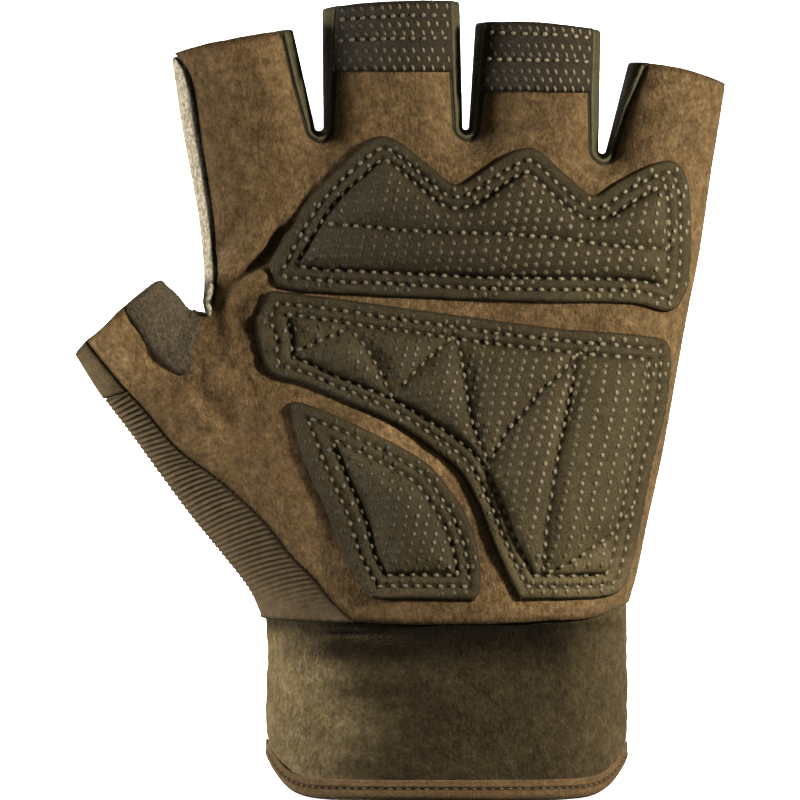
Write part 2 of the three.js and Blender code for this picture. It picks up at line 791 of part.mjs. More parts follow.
// pale strip along the outer side of the index finger
{
  const rows = [];
  const heights = HIGH_SHARES.map((share) => mix(NOTCH_Z, INDEX_SHOULDER, share));
  for (const share of fingerShares) heights.push(mix(INDEX_SHOULDER, 154, share * 2));
  for (const z of heights) {
    const row = [];
    for (let q = -2; q <= 2; q += 1) {
      const side = q < 0 ? -1 : 1;
      const make = (height) => {
        const reach = stripWide(height, side) - (SEAM_GAP / 2) * 0.7;
        const open = Math.acos(1 - reach / FINGER_ROUND);
        const angle = (Math.abs(q) / 2) * open;
        return outlineAt(indexLine, height, FINGER_ROUND * (1 - Math.cos(angle)), 1);
      };
      let height = z;
      let point = make(height);
      if (z === 154) {
        for (let k = 0; k < 8; k += 1) {
          height += tipHeight(TIPS[0], point.x) - point.z;
          point = make(height);
        }
      }
      if (q === 0) {
        const middle = (bodyY(point.x, point.z, -1) + bodyY(point.x, point.z, 1)) / 2;
        row.push(new THREE.Vector3(point.x, middle, point.z));
      } else {
        row.push(onBody(point, side));
      }
    }
    rows.push(row);
  }
  piece("index_side_strip", wallFrom([rows], STRIP_THICK, true), "#a89c82", 0.85);
}

// ribbed panel from the palm seam round the thumb's outer side to the back seam
function ribRows(from, to) {
  const seam = tracer(RIB_SEAM);
  const rows = [];
  const shares = [from, ...SEAM_SHARES.filter((share) => share > from + 0.01 && share < to - 0.01), to];
  for (const share of shares) {
    const on = seam(share);
    const next = seam(Math.min(share + 0.01, 1));
    const prev = seam(Math.max(share - 0.01, 0));
    const length = Math.hypot(next.x - prev.x, next.z - prev.z);
    const start = {
      x: on.x - ((SEAM_GAP / 2) * (next.z - prev.z)) / length,
      z: on.z + ((SEAM_GAP / 2) * (next.x - prev.x)) / length,
    };
    const edge = thumbEdgeAt(share, 0);
    const end = thumbEdgeAt(share, RIB_BACK_WIDE - SEAM_GAP / 2);
    if (share === 0) {
      end.x = backCuffCorner().x - SEAM_GAP;
      end.z = 37.4;
    }
    const row = [];
    for (const t of [0, 0.3, 0.6, 0.82, 0.95]) {
      row.push(onBody({ x: mix(start.x, edge.x, t), z: mix(start.z, edge.z, t) }, -1));
    }
    const middle = (bodyY(edge.x, edge.z, -1) + bodyY(edge.x, edge.z, 1)) / 2;
    row.push(new THREE.Vector3(edge.x, middle, edge.z));
    for (const t of [0.08, 0.3, 0.65, 1]) {
      row.push(onBody({ x: mix(edge.x, end.x, t), z: mix(edge.z, end.z, t) }, 1));
    }
    rows.push(row);
  }
  return rows;
}
const bandSplit = 0.0025;
piece("rib_knit_panel", wallFrom([ribRows(0, THUMB_BAND_SHARE - bandSplit)], RIB_THICK, true), "#5d4e38", 0.95);
piece("thumb_end_band", wallFrom([ribRows(THUMB_BAND_SHARE + bandSplit, 1)], RIB_THICK, true), "#5f5137", 0.95);

// dark patch over the thumb web, laid on the suede and folded over its edge
{
  const rows = [];
  const edgeShares = column(CROTCH_PATCH, "edge");
  const steps = 8;
  for (let r = 0; r <= steps; r += 1) {
    const share = r / steps;
    const web = webTrace(1 - 0.97 * share);
    const inner = {
      x: curveAt(edgeShares, column(CROTCH_PATCH, "x"), share),
      z: curveAt(edgeShares, column(CROTCH_PATCH, "z"), share),
    };
    const row = [];
    for (const t of [0, 0.3, 0.6, 0.82, 0.95]) {
      const point = { x: mix(inner.x, web.x, t), z: mix(inner.z, web.z, t) };
      const out = bodyNormal(point.x, point.z, -1);
      row.push(onBody(point, -1).addScaledVector(out, REST_GAP + PATCH_THICK));
    }
    const away = new THREE.Vector3(web.x - inner.x, 0, web.z - inner.z).normalize();
    const middle = (bodyY(web.x, web.z, -1) + bodyY(web.x, web.z, 1)) / 2;
    row.push(new THREE.Vector3(web.x, middle, web.z).addScaledVector(away, REST_GAP + PATCH_THICK));
    for (const t of [0.05, 0.16, 0.3]) {
      const point = { x: mix(web.x, inner.x, t), z: mix(web.z, inner.z, t) };
      const out = bodyNormal(point.x, point.z, 1);
      row.push(onBody(point, 1).addScaledVector(out, REST_GAP + PATCH_THICK));
    }
    rows.push(row);
  }
  piece("thumb_crotch_patch", wallFrom([rows], PATCH_THICK, true), "#3f382b", 0.8);
}

// closed solid laid over the palm: a flat grid with a thickness at each point
function laidOn(given, lift, thickAt, hollowAt = () => 0) {
  const first = given[0][0];
  const over = given[0][given[0].length - 1];
  const up = given[given.length - 1][0];
  const hand = (over.x - first.x) * (up.z - first.z) - (over.z - first.z) * (up.x - first.x);
  const grid = hand > 0 ? given : given.map((row) => [...row].reverse());
  const rows = grid.length;
  const cols = grid[0].length;
  const top = [];
  const low = [];
  grid.forEach((row) =>
    row.forEach((p) => {
      const out = bodyNormal(p.x, p.z, -1);
      const base = onBody(p, -1);
      low.push(base.clone().addScaledVector(out, lift + hollowAt(p)));
      top.push(base.clone().addScaledVector(out, lift + thickAt(p)));
    }),
  );
  const count = top.length;
  const index = [];
  const id = (r, c) => r * cols + c;
  for (let r = 0; r + 1 < rows; r += 1) {
    for (let c = 0; c + 1 < cols; c += 1) {
      const [a, b, d, e] = [id(r, c), id(r, c + 1), id(r + 1, c + 1), id(r + 1, c)];
      index.push(a, b, d, a, d, e);
      index.push(a + count, d + count, b + count, a + count, e + count, d + count);
    }
  }
  const rim = [];
  for (let c = 0; c + 1 < cols; c += 1) rim.push([id(0, c), id(0, c + 1)], [id(rows - 1, c + 1), id(rows - 1, c)]);
  for (let r = 0; r + 1 < rows; r += 1) rim.push([id(r + 1, 0), id(r, 0)], [id(r, cols - 1), id(r + 1, cols - 1)]);
  for (const [p, q] of rim) index.push(q, p, p + count, q, p + count, q + count);
  const geometry = new THREE.BufferGeometry();
  const all = [...top, ...low];
  geometry.setAttribute("position", new THREE.Float32BufferAttribute(all.flatMap((p) => [p.x, p.y, p.z]), 3));
  geometry.setIndex(index);
  return geometry;
}

// shares that crowd towards both ends, with the given distances first
function crowded(length, near, steps) {
  const ends = near.map((d) => Math.min(d / length, 0.4));
  const shares = [0, ...ends];
  for (let i = 1; i < steps; i += 1) shares.push(mix(ends[ends.length - 1], 1 - ends[ends.length - 1], i / steps));
  for (const end of [...ends].reverse()) shares.push(1 - end);
  shares.push(1);
  return shares;
}

function padPiece(pad) {
  const railA = tracer(pad.railA);
  const railB = tracer(pad.railB);
  const outline = [...sampled(pad.railA, 60), ...sampled(pad.railB, 90).reverse()];
  outline.push(outline[0]);
  const alongShares = crowded(80, [1.8, 5.6, 9.6], pad.along);
  const grid = alongShares.map((t) => {
    const a = railA(t);
    const b = railB(t);
    const wide = Math.hypot(b.x - a.x, b.z - a.z);
    return crowded(Math.max(wide, 4), [2.6, 5.6, 9.6].map((d, i) => Math.min(d, wide * (0.12 + 0.13 * i))), 3).map((v) => ({
      x: mix(a.x, b.x, v),
      z: mix(a.z, b.z, v),
    }));
  });
  const thickAt = (p) => {
    const inside = distanceTo(outline, p.x, p.z);
    return FLANGE_THICK + PAD_RISE * smooth(FLANGE_WIDE, FLANGE_WIDE + PAD_SLOPE, inside);
  };
  const hollowAt = (p) => PAD_HOLLOW * smooth(2, 9, distanceTo(outline, p.x, p.z));
  return laidOn(grid, REST_GAP, thickAt, hollowAt);
}
piece("knuckle_pad", padPiece(KNUCKLE_PAD), "#4a4232", 0.7);
piece("palm_pad", padPiece(PALM_PAD), "#4a4232", 0.7);
piece("heel_pad", padPiece(HEEL_PAD), "#4a4232", 0.7);

// dark perforated bands at the tips of the middle and ring fingers
for (const band of TIP_BANDS) {
  const grid = [];
  const tip = TIPS[band.finger];
  for (let r = 0; r <= 3; r += 1) {
    const row = [];
    for (let c = 0; c <= 8; c += 1) {
      const low = aroundSlotAt(band.finger - 1, 1, band.low);
      const high = aroundSlotAt(band.finger, 0, band.low);
      const topLeft = aroundSlot(band.finger - 1, 1, seamAt(band.finger - 1, 1, 0.3));
      const topRight = aroundSlot(band.finger, 0, seamAt(band.finger, 0, 0.3));
      const u = c / 8;
      const bottom = { x: mix(low.x, high.x, u), z: mix(low.z, high.z, u) };
      const x = mix(topLeft.x, topRight.x, u);
      const top = { x, z: tipHeight(tip, x) };
      row.push({ x: mix(bottom.x, top.x, r / 3), z: mix(bottom.z, top.z, r / 3) });
    }
    grid.push(row);
  }
  piece(band.name, laidOn(grid, REST_GAP, () => BAND_THICK), "#453d30", 0.75);
}

// seam point beside a slot nearest to a height
function aroundSlotAt(index, end, z) {
  let low = 0.5;
  let high = end;
  for (let k = 0; k < 24; k += 1) {
    const middle = (low + high) / 2;
    if (aroundSlot(index, middle, seamAt(index, middle, 0.3)).z < z) low = middle;
    else high = middle;
  }
  return aroundSlot(index, low, seamAt(index, low, 0.3));
}

// cuff tube with its tucked top, and soft wrinkles
function hemHeight(turn) {
  return HEM_RISE * Math.abs(Math.cos(turn)) ** 6;
}
function cuffPoint(turn, z, change) {
  const edge = cuffTop(turn) - 3.4;
  const taper = CUFF_TUCK * smooth(edge - 1.6, edge + 1, z);
  let deep = taper - change;
  for (const fold of CUFF_WRINKLES) {
    const across = THREE.MathUtils.radToDeg(turn) - fold.turn;
    const wrapped = ((across + 540) % 360) - 180;
    const side = wrapped / fold.spread;
    const up = (z - fold.z) / fold.tall;
    deep += fold.deep * Math.exp(-(side * side + up * up));
  }
  const narrow = 0.35 * smooth(20, 4, z);
  const x = Math.cos(turn) * (CUFF_HALF_WIDE - narrow - deep);
  const y = Math.sin(turn) * (CUFF_HALF_DEEP - deep);
  return new THREE.Vector3(x, y, z);
}
function cuffTop(turn) {
  return CUFF_TOP + 3.9 * smooth(0.55, 1, Math.cos(turn));
}
{
  const rows = [];
  const heights = [0, 0.25, 0.5, 0.78, 0.9, 1];
  for (const share of heights) {
    const row = [];
    for (let i = 0; i <= CUFF_STEPS; i += 1) {
      const turn = ((i % CUFF_STEPS) / CUFF_STEPS) * 2 * Math.PI;
      const low = hemHeight(turn) + CUFF_LOW;
      row.push(cuffPoint(turn, mix(low, cuffTop(turn), share), 0));
    }
    rows.push(row);
  }
  piece("cuff", wallFrom([rows], CUFF_THICK, false), "#453e28", 0.95);
}

// tape folded over the cuff's lower edge: a U-shaped profile carried round the hem
{
  const outer = 1.5;
  const slack = 0.35;
  const inner = -CUFF_THICK - 1.5;
  const profile = [
    { out: inner, up: HEM_TALL - 0.5 },
    { out: inner, up: 0.9 },
    { out: inner + 0.8, up: 0 },
    { out: outer - 0.8, up: 0 },
    { out: outer, up: 0.9 },
    { out: outer, up: HEM_TALL - 0.5 },
    { out: outer - 0.5, up: HEM_TALL },
    { out: slack, up: HEM_TALL },
    { out: slack, up: CUFF_LOW - slack },
    { out: -CUFF_THICK - slack, up: CUFF_LOW - slack },
    { out: -CUFF_THICK - slack, up: HEM_TALL },
    { out: inner + 0.4, up: HEM_TALL },
  ];
  const steps = 36;
  const points = [];
  const index = [];
  for (let i = 0; i < steps; i += 1) {
    const turn = (i / steps) * 2 * Math.PI;
    for (const p of profile) {
      const spot = cuffPoint(turn, hemHeight(turn) + CUFF_LOW, p.out);
      points.push(spot.x, spot.y, hemHeight(turn) + p.up);
    }
  }
  const n = profile.length;
  for (let i = 0; i < steps; i += 1) {
    for (let k = 0; k < n; k += 1) {
      const a = i * n + k;
      const b = i * n + ((k + 1) % n);
      const c = ((i + 1) % steps) * n + ((k + 1) % n);
      const d = ((i + 1) % steps) * n + k;
      index.push(a, c, b, a, d, c);
    }
  }
  const geometry = new THREE.BufferGeometry();
  geometry.setAttribute("position", new THREE.Float32BufferAttribute(points, 3));
  geometry.setIndex(index);
  piece("cuff_binding", geometry, "#7b6340", 0.9);
}

export default glove;
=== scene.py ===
import math
from functools import partial

import bpy
import numpy as np
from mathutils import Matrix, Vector


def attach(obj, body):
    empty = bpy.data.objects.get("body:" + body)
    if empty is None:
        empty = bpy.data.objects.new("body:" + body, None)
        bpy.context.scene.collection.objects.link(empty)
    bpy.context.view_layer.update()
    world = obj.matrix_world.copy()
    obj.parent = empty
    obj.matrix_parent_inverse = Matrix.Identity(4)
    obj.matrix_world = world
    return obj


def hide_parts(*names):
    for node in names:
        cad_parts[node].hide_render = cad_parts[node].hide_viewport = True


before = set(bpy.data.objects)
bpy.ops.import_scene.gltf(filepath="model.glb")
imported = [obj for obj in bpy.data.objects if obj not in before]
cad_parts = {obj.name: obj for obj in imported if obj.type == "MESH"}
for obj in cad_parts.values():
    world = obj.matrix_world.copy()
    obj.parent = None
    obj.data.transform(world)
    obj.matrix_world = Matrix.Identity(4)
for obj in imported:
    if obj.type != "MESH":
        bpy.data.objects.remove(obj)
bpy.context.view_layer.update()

MM = 0.001

# Sizes are millimetres in the frame's axes: palm towards -y, thumb towards -x, fingers towards +z.
# Only the studio at the end is in metres.

# The form that the cloth follows
SUEDE_THICK = 1.3
BACK_THICK = 1.2
STRIP_THICK = 1.0
RIB_THICK = 1.5
PATCH_THICK = 0.8
BAND_THICK = 1.0
CUFF_THICK = 1.6
SEAM_GAP = 0.05
HALF_GAP = SEAM_GAP / 2
# clear height between the suede and a piece that lies on it
REST = 0.3
PATCH_RISE = REST + 0.7
BAND_RISE = REST + 1.0
# radii of the rounding from each outline to the faces
FINGER_ROUND = 12.0
THUMB_ROUND = 11.6
WEB_ROUND = 14.0
THUMB_DEEP = 10.8
THUMB_FORWARD = 9.0
SIDE_SPLIT = 0.2
# middle of the thumb opening, the unit direction from it into the palm, and where the thumb's form fades out
THUMB_MIDDLE = (-68.35, 100.3)
THUMB_INTO = (0.684, -0.731)
THUMB_FADE_ALONG = (2, 46)
THUMB_FADE_ACROSS = (11, 30)
# the fingers curl towards the palm above this height, by this times the square of the height over it
CURL_FROM = 110
CURL = 0.0016
# the little finger's side is thinner by this share
LITTLE_THINNER = 0.13
# points nearer than this are one vertex
WELD = 0.01
# rounds of the small searches that bring a seam's end onto a finger opening
SEARCH_ROUNDS = 8

# height, depth to the palm, depth to the back, radius of the side edge
BODY = np.array(
    [
        (0, 22.0, 21.8, 37.0),
        (37, 22.0, 21.8, 37.0),
        (50, 20.0, 19.0, 29.0),
        (64, 18.0, 16.0, 23.0),
        (80, 15.6, 14.2, 18.5),
        (100, 14.2, 13.0, 16.0),
        (116, 13.8, 12.6, 14.5),
        (132, 12.4, 12.0, 12.5),
        (150, 11.2, 11.2, 12.0),
        (172, 10.6, 10.8, 12.0),
    ]
)

# outlines in the flat view, as x and z
RIGHT_SIDE = [
    (37.0, 5),
    (37.6, 20),
    (37.8, 34),
    (38.3, 40),
    (40.0, 46),
    (42.5, 58),
    (45.6, 72),
    (48.8, 90),
    (50.9, 101.5),
    (53.2, 113),
    (55.8, 131),
    (58.3, 147),
    (61.5, 170),
]
THUMB_SIDE = [
    (-36.8, 5),
    (-37.2, 20),
    (-37.4, 31.5),
    (-38.4, 37.3),
    (-41.0, 43.1),
    (-45.4, 49.0),
    (-52.5, 57.7),
    (-59.0, 66.5),
    (-65.2, 75.2),
    (-71.7, 84.0),
    (-76.9, 92.3),
    (-88.0, 110.0),
]
WEB_SIDE = [
    (-78.0, 124.0),
    (-68.0, 115.0),
    (-60.3, 107.3),
    (-56.2, 103.8),
    (-52.9, 101.7),
    (-51.0, 102.0),
    (-50.3, 103.8),
    (-50.1, 107.0),
    (-50.4, 112.5),
    (-51.4, 121.0),
    (-53.0, 130.0),
    (-54.8, 139.5),
    (-56.9, 154.2),
    (-58.6, 170.0),
]

# slots between the fingers: low centre, low radius, high centre, high radius
SLOTS = [
    (-26.25, 139.6, 0.85, -29.2, 165.0, 3.6),
    (4.27, 139.6, 0.6, 4.85, 170.0, 1.95),
    (32.7, 134.8, 0.75, 36.6, 164.0, 4.2),
]
# distance of the seams from each slot: at its bottom, then low, middle and top of its left and its right side
SLOT_SEAMS = [
    (2.5, (2.0, 2.45, 2.5), (2.0, 2.6, 3.4)),
    (2.4, (2.0, 2.4, 2.5), (2.0, 2.4, 2.7)),
    (2.4, (2.1, 2.5, 2.3), (1.75, 2.2, 3.6)),
]
# share of a slot's walk that its round bottom takes up on either side, and the shares of the table's rows
SLOT_BEND = 0.12
SEAM_SHARES = (0, SLOT_BEND, 0.3, 0.5)
# finger openings: x, z, half width, lean
TIPS = [
    (-44.4, 157.1, 12.75, 11.3),
    (-11.1, 164.6, 14.3, 2.9),
    (19.7, 160.1, 13.25, -3.6),
    (48.1, 150.7, 10.4, -12.0),
]
# height of each opening's bow, by its x
TIP_BOWS = {-44.4: 0.25, -11.1: 0.5, 19.7: 0.6, 48.1: 0.8}
# seam of the rib panel on the palm, from the cuff to the thumb opening
RIB_SEAM = [
    (-19.2, 36.9),
    (-23.3, 40.8),
    (-26.9, 45.4),
    (-31.5, 50.0),
    (-36.0, 55.8),
    (-40.8, 60.8),
    (-47.9, 66.9),
    (-55.4, 72.5),
    (-62.1, 80.4),
    (-67.5, 86.3),
    (-74.4, 94.8),
]
# column lines: cuff x, cuff z, notch-level x, notch-level z
COLUMN_LINES = [
    (-19.2, 36.9, -36, 72),
    (-6, 36.4, -21, 98),
    (9, 36.5, 5, 98),
    (23, 37.2, 27, 96),
    (38.1, 40.4, 50.1, 97),
]
# on the back the first line lies further in by this at the notch level
BACK_ROOT_SHIFT = 2
# height of the corner between the fingers' lower and upper rows, on both outer sides
INDEX_SHOULDER = 133.0
LITTLE_SHOULDER = 132.2
# first guesses of the heights at which the outer seams meet the finger openings
INDEX_TOP = 154.0
LITTLE_TOP = 148.4
START_ABOVE_NOTCH = 0.4
# soft swells of the palm: x, z, width, height, lift
SWELLS = [(-25, 67, 15, 17, 3.6), (27, 66, 13, 22, 2.4), (4, 90, 13, 16, -1.8), (0, 121, 40, 8, 0.8)]
# folds in the palm suede: points of its line, depth (negative is a ridge), half width
FOLDS = [
    ([(-47.3, 106.0), (-43.1, 107.9), (-39.8, 110.4), (-37.0, 112.8), (-34.2, 117.0)], 2.3, 1.45),
    ([(-47.2, 108.6), (-44.3, 111.6), (-40.6, 115.4), (-38.2, 119.5)], -1.7, 2.1),
    ([(-45.4, 103.6), (-42.4, 106.0), (-38.4, 108.6)], -1.5, 1.4),
    ([(-38.6, 105.0), (-41.5, 103.4), (-43.2, 100.6), (-41.9, 97.0)], 0.75, 1.1),
    ([(-45.6, 103.0), (-45.2, 98.5), (-44.2, 94.0)], -0.4, 1.3),
    ([(-47.8, 105.4), (-47.9, 100.5), (-47.4, 95.5)], 0.25, 1.3),
    ([(-50.3, 93.0), (-50.5, 86.5)], 0.35, 1.1),
    ([(-52.6, 92.0), (-52.8, 84.0)], -0.35, 1.4),
    ([(-48.9, 109.5), (-45.0, 116.0), (-42.5, 122.0)], 0.7, 1.3),
    ([(-49.3, 114.5), (-46.5, 124.0)], -0.6, 1.6),
    ([(-54.0, 87.0), (-44.5, 78.0)], 0.55, 1.8),
    ([(-50.0, 90.5), (-42.0, 83.0)], -0.5, 1.8),
    ([(-58.5, 88.0), (-50.5, 78.0)], -0.5, 2.0),
    ([(-47.0, 92.0), (-40.5, 86.0)], 0.4, 1.5),
    ([(-61.5, 91.5), (-55.5, 83.0)], 0.45, 1.6),
    ([(-47.5, 128.0), (-38.0, 139.0)], 0.35, 1.7),
    ([(-50.5, 134.0), (-43.0, 146.0)], -0.35, 1.9),
]
# side strip of the index finger: height and width seen from the palm
SIDE_STRIP = np.array(
    [
        (102, 1.9),
        (106, 2.5),
        (113, 2.7),
        (125, 3.0),
        (137, 3.4),
        (145, 3.6),
        (149.5, 3.1),
        (152.3, 1.9),
        (154.6, 0.25),
        (160, 0.2),
    ]
)
BACK_STRIP_WIDE = 2.6
RIB_BACK_WIDE = 7.0
# height of the back's lower edge at the rib panel, and the share over which the seam is drawn to it
BACK_CUFF_Z = 37.4
CORNER_PULL = 0.02
# share of the rib panel's length at which its plain end band starts, and half the gap between the two
BAND_SHARE = 0.83
BAND_GAP = 0.002
# thumb crotch patch: share along its upper edge, inner edge x and z
CROTCH_PATCH = np.array(
    [
        (0.0, -65.8, 102.3),
        (0.14, -65.5, 100.2),
        (0.34, -62.7, 96.0),
        (0.52, -60.0, 92.4),
        (0.68, -57.3, 89.6),
        (0.8, -54.9, 87.9),
        (0.87, -53.4, 88.2),
        (0.93, -52.2, 91.2),
        (0.97, -51.3, 95.2),
        (1.0, -50.7, 98.9),
    ]
)
# lower end of the index finger's strip: x, z, half width
STRIP_TAIL = np.array(
    [
        (-48.6, 107.4, 0.3),
        (-48.8, 105.0, 0.8),
        (-49.0, 102.6, 0.95),
        (-49.0, 101.2, 0.8),
        (-48.8, 99.9, 0.4),
    ]
)


def hermite(keys, values, at):
    """Smooth curve through table rows: on each span a cubic that takes its end slopes from the rows around."""
    keys, values, at = (np.asarray(v, float) for v in (keys, values, at))
    last = len(keys) - 1
    before = np.maximum(np.arange(last + 1) - 1, 0)
    after = np.minimum(np.arange(last + 1) + 1, last)
    slopes = (values[after] - values[before]) / (keys[after] - keys[before])
    i = np.clip(np.searchsorted(keys, at, side="right") - 1, 0, last - 1)
    span = keys[i + 1] - keys[i]
    t = np.clip((at - keys[i]) / span, 0, 1)
    s = 1 - t
    return (
        s * s * (1 + 2 * t) * values[i]
        + t * t * (3 - 2 * t) * values[i + 1]
        + s * s * t * span * slopes[i]
        - s * t * t * span * slopes[i + 1]
    )


def trace(rows, share):
    """Points on the smooth line through rows at shares of its straight length."""
    rows = np.asarray(rows, float)
    steps = np.concatenate([[0], np.cumsum(np.hypot(*np.diff(rows, axis=0).T))])
    keys = steps / steps[-1]
    return np.stack([hermite(keys, rows[:, 0], share), hermite(keys, rows[:, 1], share)], -1)


def sampled(rows, count):
    """The smooth line through rows at count even steps."""
    return trace(rows, np.linspace(0, 1, count + 1))


def smooth(low, high, value):
    """0 below low, 1 above high, and 3tt - 2ttt between, with t the share of the way."""
    t = np.clip((value - low) / (high - low), 0, 1)
    return t * t * (3 - 2 * t)


def mix(a, b, share):
    """The value a share of the way from a to b."""
    return a + (b - a) * share


def bell(d):
    """1 at d = 0 and exp(-dd) away from it."""
    return np.exp(-d * d)


def unit(v):
    """Directions brought to length 1."""
    return v / np.maximum(np.linalg.norm(v, axis=-1, keepdims=True), 1e-12)


def line_distance(line, x, z, weights=1.0):
    """Shortest distance from each flat point to a polyline: the least over its segments of the distance to
    them, each times its weight."""
    x, z = np.broadcast_arrays(np.asarray(x, float), np.asarray(z, float))
    p = np.stack([x.ravel(), z.ravel()], 1)
    a = line[:-1]
    d = line[1:] - a
    dd = np.maximum((d * d).sum(1), 1e-9)
    best = np.empty(len(p))
    for s in range(0, len(p), 16000):
        q = p[s : s + 16000, None, :] - a
        t = np.clip((q * d).sum(-1) / dd, 0, 1)
        r = q - t[..., None] * d
        best[s : s + 16000] = (np.sqrt((r * r).sum(-1)) * weights).min(1)
    return best.reshape(x.shape)


def inside(polygon, x, z):
    """True where a flat point is inside a closed polygon, by the number of its edges a level ray crosses."""
    hit = np.zeros(np.shape(x), bool)
    a = polygon
    b = np.roll(polygon, -1, axis=0)
    for (ax, az), (bx, bz) in zip(a, b):
        if az == bz:
            continue
        cross = ((az > z) != (bz > z)) & (x < (bx - ax) * (z - az) / (bz - az) + ax)
        hit ^= cross
    return hit


RIGHT_LINE = sampled(RIGHT_SIDE, 60)
THUMB_LINE = sampled(THUMB_SIDE, 60)
WEB_LINE = sampled(WEB_SIDE, 80)


def slot_distance(slot, x, z):
    """Distance from a tapered round-ended slot: distance to its axis less its radius there."""
    xl, zl, rl, xh, zh, rh = slot
    dx, dz = xh - xl, zh - zl
    t = np.maximum(((x - xl) * dx + (z - zl) * dz) / (dx * dx + dz * dz), 0)
    return np.maximum(np.hypot(x - xl - t * dx, z - zl - t * dz) - mix(rl, rh, t), 0)


def rounding(distance, radius):
    """Quarter-circle section: 0 on the outline, 1 further in than the radius."""
    rest = 1 - np.minimum(distance / radius, 1)
    return np.sqrt(np.maximum(1 - rest * rest, 0))


def thumb_share(x, z):
    """1 at the thumb, fading to 0 in the palm and the index finger, by place along and across the thumb."""
    dx, dz = x - THUMB_MIDDLE[0], z - THUMB_MIDDLE[1]
    inward = dx * THUMB_INTO[0] + dz * THUMB_INTO[1]
    sideways = dz * THUMB_INTO[0] - dx * THUMB_INTO[1]
    return (1 - smooth(*THUMB_FADE_ALONG, inward)) * (1 - smooth(*THUMB_FADE_ACROSS, sideways))


def value_noise(x, z, cell, seed):
    """Smooth noise between -1 and 1: random values on a square lattice, eased between its points."""
    table = np.random.default_rng(seed).uniform(-1, 1, (64, 64))
    u, v = np.asarray(x) / cell, np.asarray(z) / cell
    i, j = np.floor(u).astype(int), np.floor(v).astype(int)
    fu, fv = u - i, v - j
    fu, fv = fu * fu * (3 - 2 * fu), fv * fv * (3 - 2 * fv)
    near, far, low, high = i % 64, (i + 1) % 64, j % 64, (j + 1) % 64
    return mix(mix(table[near, low], table[far, low], fu), mix(table[near, high], table[far, high], fu), fv)


def fold_depth(x, z):
    """Sum over the folds of a bell curve across each fold line."""
    deep = np.zeros(np.broadcast(x, z).shape)
    for line, amount, half in FOLDS:
        away = line_distance(np.array(line), x, z) / half
        deep += amount * bell(away)
    return deep


def body_y(x, z, side, folds=True):
    """y of the palm face (side -1) or back (side 1): a middle surface plus or minus a depth that
    the rounding to every outline takes down to almost nothing at the edges."""
    x, z = np.broadcast_arrays(np.asarray(x, float), np.asarray(z, float))
    lift = thumb_share(x, z)
    edge = mix(hermite(BODY[:, 0], BODY[:, 3], z), THUMB_ROUND, lift)
    shape = rounding(line_distance(RIGHT_LINE, x, z), edge)
    shape = shape * rounding(line_distance(THUMB_LINE, x, z), edge)
    shape = shape * rounding(line_distance(WEB_LINE, x, z), np.minimum(edge, WEB_ROUND))
    for slot in SLOTS:
        shape = shape * rounding(slot_distance(slot, x, z), FINGER_ROUND)
    deep = mix(hermite(BODY[:, 0], BODY[:, 1 if side < 0 else 2], z), THUMB_DEEP, lift)
    deep = deep * (1 - LITTLE_THINNER * smooth(34, 50, x) * smooth(110, 135, z))
    if side < 0:
        for sx, sz, wide, tall, up in SWELLS:
            away = ((x - sx) / wide) ** 2 + ((z - sz) / tall) ** 2
            deep = deep + up * np.exp(-away / 2) * (1 - lift)
        if folds:
            deep = deep - fold_depth(x, z)
    # soft, middle and fine waves of the hide, stronger where the thumb's web creases it
    creased = smooth(-8, -38, x) * smooth(78, 92, z)
    ripple = 0.3 * value_noise(x + 200, z, 8.0, 3)
    ripple = ripple + (0.11 + 0.2 * creased) * value_noise(x + 200, z, 3.3, 4)
    ripple = ripple + 0.15 * creased * value_noise(x + 200 + 0.5 * z, 0.7 * z, 1.7, 5)
    deep = deep + ripple * smooth(0, 6, deep * shape - 2)
    curl = -CURL * np.maximum(z - CURL_FROM, 0) ** 2 * (1 - lift)
    return curl - THUMB_FORWARD * lift + side * (SIDE_SPLIT + (deep - SIDE_SPLIT) * shape)


def on_body(flat, side):
    """Flat points placed on the palm face or the back."""
    x, z = flat[..., 0], flat[..., 1]
    return np.stack([x, body_y(x, z, side), z], -1)


def side_point(flat):
    """Flat points placed where the palm face and the back meet, halfway between the two."""
    x, z = flat[..., 0], flat[..., 1]
    return np.stack([x, (body_y(x, z, -1) + body_y(x, z, 1)) / 2, z], -1)


def surface(x, z, side=-1, step=0.3):
    """Points on the body and the unit direction out of it, from the slopes of its face."""
    y = body_y(x, z, side)
    sx = (body_y(x + step, z, side) - body_y(x - step, z, side)) / (2 * step)
    sz = (body_y(x, z + step, side) - body_y(x, z - step, side)) / (2 * step)
    out = np.stack([-side * sx, np.full(np.shape(y), float(side)), -side * sz], -1)
    return np.stack([x, y, z], -1), unit(out)


def tip_height(tip, x):
    """Height of a finger opening's edge line at x: a leaning line with a slight bow."""
    off = x - tip[0]
    bow = TIP_BOWS[tip[0]] * (1 - (off / tip[2]) ** 2)
    return tip[1] + off * math.tan(math.radians(tip[3])) + np.maximum(bow, -0.3)


